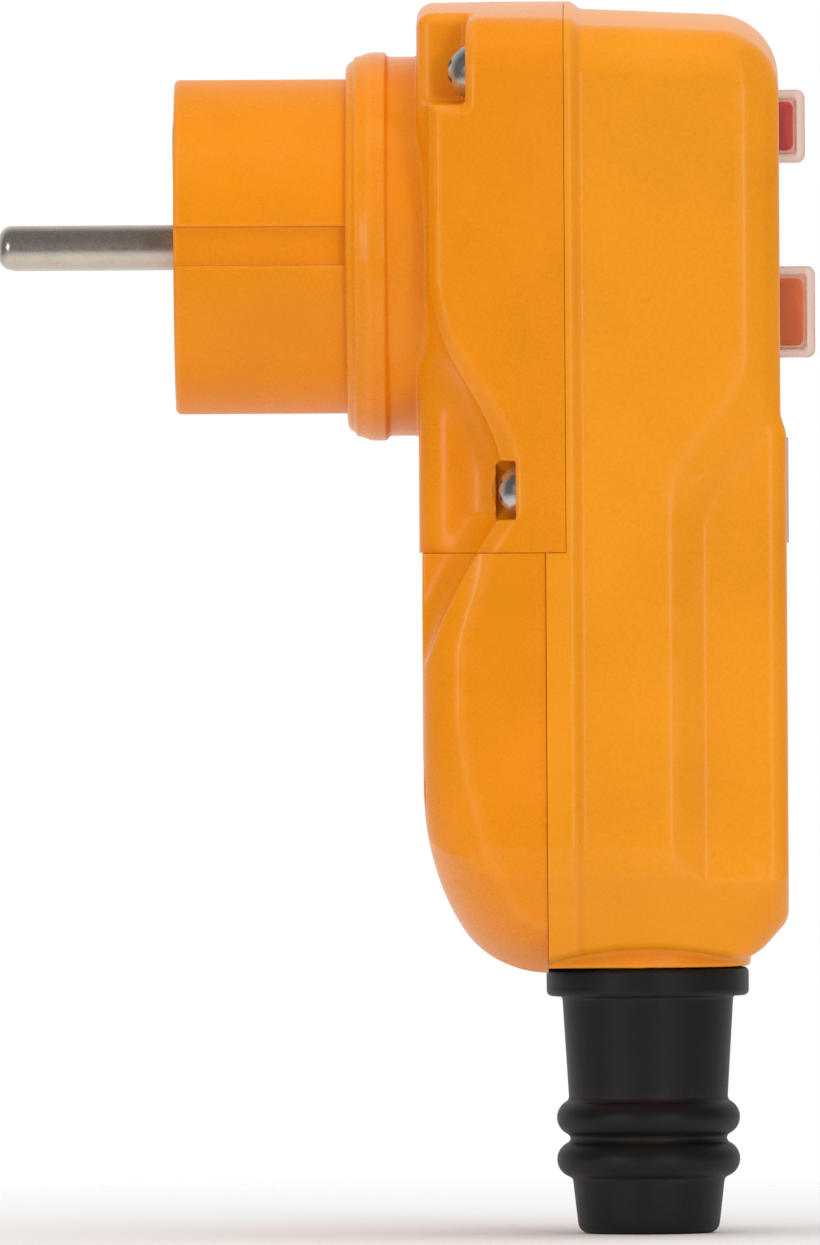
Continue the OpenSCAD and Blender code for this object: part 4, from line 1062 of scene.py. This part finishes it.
for node, joint, turns in (("carrier_springs", "carrier_close", 7), ("test_spring", "test_press", 6)):
    low, high = node_box(node)
    off = high[1] - (high[2] - low[2]) / 2
    points, faces = [], []
    for y in sorted({round(off, 3), round(-off, 3)} if off > wire_r else {0.0}):
        coil_points, coil_faces = wound(low, high, turns, y)
        faces += [tuple(k + len(points) for k in face) for face in coil_faces]
        points += coil_points.tolist()
    mesh = bpy.data.meshes.new(node + "_wound")
    mesh.from_pydata((np.array(points) * MM).tolist(), [], faces)
    mesh.shade_smooth()
    spring = bpy.data.objects.new(mesh.name, mesh)
    bpy.context.scene.collection.objects.link(spring)
    put_on_body(spring, "housing", "spring_steel", node)
    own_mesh(spring)

# %% [markdown]
# ## Shared effects
# Every finish below is worked out from the same few effects. Each is a node group with named
# sockets, so it is tuned in one place. The grain is the fine texture that a mould leaves on plastic.
# Wear follows the bend of the surface that was kept on each mesh: edges are handled and rub smooth, and the
# same mask paints them lighter as a painted highlight.
# Dust settles in inner corners and on faces that look up. Stains cloud bare metal.

# %% Node helpers
def srgb(red, green, blue):
    """A colour from 0 to 255 as Blender's linear colour."""
    parts = [c / 255 for c in (red, green, blue)]
    return tuple(c / 12.92 if c <= 0.04045 else ((c + 0.055) / 1.055) ** 2.4 for c in parts) + (1.0,)


def effect(name, inputs, outputs):
    """An empty node group with named sockets, and its two end nodes."""
    group = bpy.data.node_groups.new(name, "ShaderNodeTree")
    for label, value in inputs.items():
        socket = group.interface.new_socket(label, in_out="INPUT", socket_type="NodeSocketFloat")
        socket.default_value = value
    for label in outputs:
        group.interface.new_socket(label, in_out="OUTPUT", socket_type="NodeSocketFloat")
    return group, group.nodes.new("NodeGroupInput"), group.nodes.new("NodeGroupOutput")


def noise(tree, size, detail=2.0):
    """Noise in object space with features of about a size in millimetres."""
    place = tree.nodes.new("ShaderNodeTexCoord")
    node = tree.nodes.new("ShaderNodeTexNoise")
    node.inputs["Scale"].default_value = 1 / (size * MM)
    node.inputs["Detail"].default_value = detail
    tree.links.new(place.outputs["Object"], node.inputs["Vector"])
    return node


def maths(tree, operation, *values):
    """A Math node fed by sockets or numbers."""
    node = tree.nodes.new("ShaderNodeMath")
    node.operation = operation
    for socket, value in zip(node.inputs, values):
        if isinstance(value, (int, float)):
            socket.default_value = value
        else:
            tree.links.new(value, socket)
    return node.outputs[0]


def spread(tree, value, low, high):
    """A value stretched so that low becomes 0 and high becomes 1."""
    node = tree.nodes.new("ShaderNodeMapRange")
    node.inputs["From Min"].default_value = low
    node.inputs["From Max"].default_value = high
    tree.links.new(value, node.inputs["Value"])
    return node.outputs["Result"]


print("node tools: srgb, effect, noise, maths, spread")

# %% Grain, wear with a painted highlight, dust and stains
grain, ends_in, ends_out = effect("moulded_grain", {"Fine": 1.0}, ("Height", "Tone"))
fine = noise(grain, 0.3, 3.0)
cloud = noise(grain, 14.0, 3.0)
fine_share = 0.45
height = maths(grain, "MULTIPLY", fine.outputs[0], ends_in.outputs["Fine"])
grain.links.new(height, ends_out.inputs["Height"])
clouded_tone = maths(grain, "MULTIPLY", cloud.outputs[0], 1 - fine_share)
mixed_tone = maths(grain, "MULTIPLY_ADD", fine.outputs[0], fine_share, clouded_tone)
grain.links.new(spread(grain, mixed_tone, 0.36, 0.64), ends_out.inputs["Tone"])

# Bent-out edges get a lighter colour: partly real wear, partly a painted highlight.
wear_and_highlight, ends_in, ends_out = effect("edge_wear", {"Amount": 0.5}, ("Mask",))
bend = wear_and_highlight.nodes.new("ShaderNodeAttribute")
bend.attribute_name = "bend_out"
rubbed_and_lit = maths(wear_and_highlight, "MULTIPLY", spread(wear_and_highlight, bend.outputs["Fac"], 0.25, 0.9),
               spread(wear_and_highlight, noise(wear_and_highlight, 3.0, 4.0).outputs[0], 0.25, 0.6))
wear_and_highlight.links.new(maths(wear_and_highlight, "MULTIPLY", rubbed_and_lit, ends_in.outputs["Amount"]), ends_out.inputs["Mask"])

dust, ends_in, ends_out = effect("settled_dust", {"Amount": 0.5}, ("Mask",))
corner = dust.nodes.new("ShaderNodeAttribute")
corner.attribute_name = "bend_in"
faces_up = dust.nodes.new("ShaderNodeSeparateXYZ")
dust.links.new(dust.nodes.new("ShaderNodeNewGeometry").outputs["Normal"], faces_up.inputs[0])
lying = maths(dust, "MAXIMUM", maths(dust, "MULTIPLY", faces_up.outputs["Z"], 0.35), corner.outputs["Fac"])
settled = maths(dust, "MULTIPLY", lying, spread(dust, noise(dust, 5.0, 5.0).outputs[0], 0.3, 0.7))
dust.links.new(maths(dust, "MULTIPLY", settled, ends_in.outputs["Amount"]), ends_out.inputs["Mask"])

stain, ends_in, ends_out = effect("metal_stain", {"Amount": 0.5}, ("Mask", "Scratches"))
blot = spread(stain, noise(stain, 2.5, 4.0).outputs[0], 0.4, 0.7)
stain.links.new(maths(stain, "MULTIPLY", blot, ends_in.outputs["Amount"]), ends_out.inputs["Mask"])
stain.links.new(noise(stain, 0.12, 2.0).outputs[0], ends_out.inputs["Scratches"])
print("effects:", ", ".join(g.name for g in (grain, wear_and_highlight, dust, stain)))

# %% [markdown]
# ## Finishes
# The housing is a tough orange plastic with a fine matt grain. The front shell is a touch paler than
# the rear one, as on the real object, and the plug body is smoother. Pins and screws are nickel or
# zinc on steel, the sleeve is black rubber, and the boots are milky silicone through which the red
# and the orange button show. The inner parts get the finishes that such parts have: brass, copper,
# nylon, a green board. One function builds the opaque finishes, so that they differ only in colour,
# grain and age. Each also paints its bent-out edges lighter, partly as wear and partly as a painted
# highlight.

# %% One opaque finish
def use(tree, group, **values):
    """A group node with some of its sockets set."""
    node = tree.nodes.new("ShaderNodeGroup")
    node.node_tree = group
    for label, value in values.items():
        node.inputs[label].default_value = value
    return node


def tinted(tree, colour, other, mask):
    """A colour mixed with another by a mask."""
    node = tree.nodes.new("ShaderNodeMix")
    node.data_type = "RGBA"
    sockets = {s.identifier: s for s in node.inputs}
    tree.links.new(mask, sockets["Factor_Float"])
    for key, value in (("A_Color", colour), ("B_Color", other)):
        if isinstance(value, tuple):
            sockets[key].default_value = value
        else:
            tree.links.new(value, sockets[key])
    return next(s for s in node.outputs if s.identifier == "Result_Color")


def shaded(colour, factor):
    """A colour made lighter or darker."""
    return tuple(min(1.0, c * factor) for c in colour[:3]) + (1.0,)


def opaque(name, colour, roughness, depth, worn_edge_highlight, dusty=0.04, vary=0.06, metal=0.0, stained=0.0):
    """A finish with grain of a depth in millimetres, edges painted lighter, partly from use and partly as a
    painted highlight, dust and stains.
    """
    material = bpy.data.materials.new(name)
    material.use_nodes = True
    tree = material.node_tree
    shader = tree.nodes["Principled BSDF"]
    shader.inputs["Metallic"].default_value = metal
    shader.inputs["Specular IOR Level"].default_value = 0.25
    texture = use(tree, grain)
    base = tinted(tree, shaded(colour, 1 - vary), shaded(colour, 1 + vary), texture.outputs["Tone"])
    # Bent-out edges take the lighter edge colour, partly wear and partly a painted highlight.
    base = tinted(tree, base, worn_edge_highlight, use(tree, wear_and_highlight, Amount=0.15).outputs["Mask"])
    rough = maths(tree, "MULTIPLY_ADD", texture.outputs["Tone"], 0.08, roughness - 0.04)
    if stained:
        marks = use(tree, stain, Amount=stained)
        base = tinted(tree, base, shaded(colour, 0.35), marks.outputs["Mask"])
        rough = maths(tree, "MULTIPLY_ADD", marks.outputs["Scratches"], 0.2, rough)
    base = tinted(tree, base, srgb(196, 186, 172), use(tree, dust, Amount=dusty).outputs["Mask"])
    tree.links.new(base, shader.inputs["Base Color"])
    tree.links.new(rough, shader.inputs["Roughness"])
    bump = tree.nodes.new("ShaderNodeBump")
    bump.inputs["Distance"].default_value = depth * MM
    bump.inputs["Strength"].default_value = 0.6
    tree.links.new(texture.outputs["Height"], bump.inputs["Height"])
    tree.links.new(bump.outputs["Normal"], shader.inputs["Normal"])
    return material


print("finish tools: use, tinted, shaded, opaque")

# %% The finishes by slot
# Lighter colours for bent-out edges, partly wear and partly a painted highlight; the fifth colour of every
# finish below works the same way.
worn_highlight_orange = srgb(250, 178, 92)
worn_highlight_steel = srgb(214, 212, 208)
finishes = {
    "rear_orange": opaque("orange plastic, rear", srgb(240, 142, 0), 0.28, 0.006, worn_highlight_orange),
    "front_orange": opaque("orange plastic, front", srgb(244, 151, 14), 0.31, 0.02, worn_highlight_orange),
    "plug_orange": opaque("orange plastic, plug", srgb(241, 143, 0), 0.28, 0.004, worn_highlight_orange),
    "nickel": opaque("nickel", srgb(212, 202, 190), 0.2, 0.004, worn_highlight_steel,
                     dusty=0.05, vary=0.06, metal=0.86, stained=0.12),
    "zinc_steel": opaque("zinc on steel", srgb(206, 205, 203), 0.16, 0.004, worn_highlight_steel,
                         dusty=0.05, vary=0.04, metal=0.9, stained=0.1),
    "black_rubber": opaque("black rubber", srgb(22, 22, 23), 0.48, 0.015, srgb(40, 40, 40), dusty=0.02),
    "seal_rubber": opaque("seal rubber", srgb(38, 36, 36), 0.6, 0.03, srgb(60, 58, 56), dusty=0.2),
    "red_button": opaque("red plastic", srgb(226, 36, 66), 0.35, 0.01, srgb(236, 90, 96)),
    "amber_button": opaque("amber plastic", srgb(255, 150, 46), 0.35, 0.01, srgb(255, 170, 100)),
    "label_grey": opaque("grey plate", srgb(206, 204, 200), 0.4, 0.01, srgb(226, 224, 220)),
    "natural_nylon": opaque("natural nylon", srgb(226, 217, 196), 0.45, 0.02, srgb(240, 234, 220)),
    "board_green": opaque("board lacquer", srgb(28, 84, 48), 0.3, 0.01, srgb(150, 140, 90),
                          dusty=0.2, vary=0.2),
    "copper": opaque("copper", srgb(200, 118, 78), 0.3, 0.006, srgb(224, 150, 110),
                     dusty=0.1, vary=0.08, metal=1.0, stained=0.3),
    "brass": opaque("brass", srgb(206, 170, 92), 0.28, 0.006, srgb(226, 198, 130),
                    dusty=0.1, vary=0.06, metal=1.0, stained=0.3),
    "soft_iron": opaque("soft iron", srgb(128, 126, 124), 0.4, 0.01, srgb(170, 168, 164),
                        dusty=0.1, vary=0.1, metal=1.0, stained=0.4),
    "spring_steel": opaque("spring steel", srgb(176, 176, 178), 0.25, 0.004, worn_highlight_steel,
                           dusty=0.05, vary=0.05, metal=1.0, stained=0.2),
    "black_plastic": opaque("black plastic", srgb(34, 34, 36), 0.4, 0.02, srgb(70, 70, 72), dusty=0.2),
    "blue_epoxy": opaque("blue epoxy", srgb(40, 78, 150), 0.3, 0.02, srgb(80, 116, 180), dusty=0.2),
    "capacitor_yellow": opaque("yellow plastic", srgb(222, 186, 60), 0.35, 0.02, srgb(236, 210, 110),
                               dusty=0.2),
}
print("opaque finishes:", ", ".join(finishes))

# %% Milky silicone
silicone = bpy.data.materials.new("milky silicone")
silicone.use_nodes = True
tree = silicone.node_tree
shader = tree.nodes["Principled BSDF"]
shader.inputs["Transmission Weight"].default_value = 0.92
shader.inputs["IOR"].default_value = 1.07
clouded = spread(tree, noise(tree, 4.0).outputs[0], 0.3, 0.7)
milk = tinted(tree, srgb(229, 198, 185), srgb(236, 208, 196), clouded)
tree.links.new(milk, shader.inputs["Base Color"])
tree.links.new(maths(tree, "MULTIPLY_ADD", clouded, 0.04, 0.14), shader.inputs["Roughness"])
finishes["silicone"] = silicone
print("see-through finish:", silicone.name)

# %% Every piece gets its finish
slot_of = {s["node"]: s["material_slot"] for s in frame["record"]["subparts"]}
shown = [o for o in bpy.data.objects if o.type == "MESH"]
for piece in shown:
    slot_name = piece.get("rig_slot") or slot_of[piece.name]
    piece.data.materials.clear()
    piece.data.materials.append(finishes[slot_name])
print(len(finishes), "finishes on", len(shown), "objects")

# %% [markdown]
# ## Studio
# The object stands on white. A wide softbox overhead lights the upper faces and isn't mirrored, so
# that it leaves no glare. Two narrow upright lamps left and right of the camera draw the fine bright
# lines along the edges. The room is bright behind the object, where rounded edges mirror it as a pale
# band, and dark behind the camera, so the sides keep their full colour. One lamp could light it all,
# but its glare would hide the grips and scoops. The floor is a pale disc that takes the shadow and
# fades out, so that no horizon shows.

# %% Light
world = bpy.context.scene.world or bpy.data.worlds.new("studio")
bpy.context.scene.world = world
world.use_nodes = True
tree = world.node_tree
tree.nodes.clear()
room = tree.nodes.new("ShaderNodeBackground")
room.inputs["Color"].default_value = (1.0, 1.0, 1.0, 1.0)
way = tree.nodes.new("ShaderNodeSeparateXYZ")
tree.links.new(tree.nodes.new("ShaderNodeTexCoord").outputs["Generated"], way.inputs[0])
rays = tree.nodes.new("ShaderNodeLightPath")
seen = maths(tree, "MAXIMUM", rays.outputs["Is Camera Ray"], rays.outputs["Is Transmission Ray"])
darkest, fill_light = 0.05, 0.6
backdrop = maths(tree, "MAXIMUM", spread(tree, way.outputs["Y"], 0.0, 1.0), darkest)
mirrored = maths(tree, "MULTIPLY", rays.outputs["Is Glossy Ray"], backdrop)
ambient = maths(tree, "MULTIPLY", rays.outputs["Is Diffuse Ray"], fill_light)
strength = maths(tree, "MAXIMUM", seen, maths(tree, "MAXIMUM", mirrored, ambient))
tree.links.new(strength, room.inputs["Strength"])
tree.links.new(room.outputs[0], tree.nodes.new("ShaderNodeOutputWorld").inputs["Surface"])


def softbox(name, place, aim, size, watts, mirrored):
    """A rectangular lamp that looks at a point."""
    lamp = bpy.data.lights.new(name, "AREA")
    lamp.shape = "RECTANGLE"
    lamp.size, lamp.size_y = size
    lamp.energy = watts
    piece = bpy.data.objects.new(name, lamp)
    bpy.context.scene.collection.objects.link(piece)
    piece.location = place
    piece.visible_glossy = mirrored
    piece.rotation_euler = (Vector(aim) - Vector(place)).to_track_quat("-Z", "Y").to_euler()
    return piece


middle = Vector((0.0252, 0.0, -0.0409))
key_size, key_watts = (0.18, 0.45), 2.1
lamps = [softbox("overhead", (0.02, -0.1, 0.75), (0.02, 0.0, 0.0), (1.0, 0.8), watts=3.2, mirrored=False)]
for name, place in (("left_key", (-0.72, -0.92, 0.1)), ("right_key", (0.55, -1.07, 0.1))):
    lamps.append(softbox(name, place, middle, key_size, key_watts, mirrored=True))
print("lamps:", ", ".join(lamp.name for lamp in lamps))

# %% Floor
floor_disc_r, floor_sides = 0.55, 96
floor_mesh = bpy.data.meshes.new("floor")
turns = [math.tau * i / floor_sides for i in range(floor_sides)]
ring = [(floor_disc_r * math.cos(turn), floor_disc_r * math.sin(turn), 0.0) for turn in turns]
floor_mesh.from_pydata(ring, [], [tuple(range(floor_sides))])
floor = bpy.data.objects.new("floor", floor_mesh)
bpy.context.scene.collection.objects.link(floor)
floor.location = (middle.x, 0.0, tail_z * MM)
paper = bpy.data.materials.new("white paper")
paper.use_nodes = True
tree = paper.node_tree
shader = tree.nodes["Principled BSDF"]
shader.inputs["Roughness"].default_value = 0.9
shader.inputs["Base Color"].default_value = (0.97, 0.97, 0.97, 1.0)
distance = tree.nodes.new("ShaderNodeVectorMath")
distance.operation = "LENGTH"
tree.links.new(tree.nodes.new("ShaderNodeTexCoord").outputs["Object"], distance.inputs[0])
fade_end, fade_start = 0.4, 0.12
seen_end, seen_start = 0.22, 0.03
whole = spread(tree, distance.outputs["Value"], fade_end, fade_start)
shown_part = spread(tree, distance.outputs["Value"], seen_end, seen_start)
rays = tree.nodes.new("ShaderNodeLightPath")
hidden = maths(tree, "MULTIPLY", rays.outputs["Is Camera Ray"], maths(tree, "SUBTRACT", whole, shown_part))
tree.links.new(maths(tree, "SUBTRACT", whole, hidden), shader.inputs["Alpha"])
floor_mesh.materials.append(paper)
print(f"floor {2 * floor_disc_r:.1f} m wide at Z {floor.location.z:.4f}")

# %% Camera
camera_data = bpy.data.cameras.new("camera")
camera_data.sensor_fit = "VERTICAL"
camera_data.sensor_height = 36.0
camera_data.lens = 798.0
camera_data.clip_start, camera_data.clip_end = 0.05, 20.0
camera = bpy.data.objects.new("camera", camera_data)
bpy.context.scene.collection.objects.link(camera)
turn, rise, roll, away = math.radians(0.5), math.radians(0.4), math.radians(-0.35), 3.0
camera.location = middle + away * Vector((math.sin(turn) * math.cos(rise), -math.cos(turn) * math.cos(rise),
                                          math.sin(rise)))
look = (middle - camera.location).to_track_quat("-Z", "Y").to_matrix().to_4x4()
camera.rotation_euler = (look @ Matrix.Rotation(roll, 4, "Z")).to_euler()
bpy.context.scene.camera = camera
bpy.context.scene.view_settings.view_transform = "Standard"
print("camera", away, "m away with a lens of", camera_data.lens, "mm")
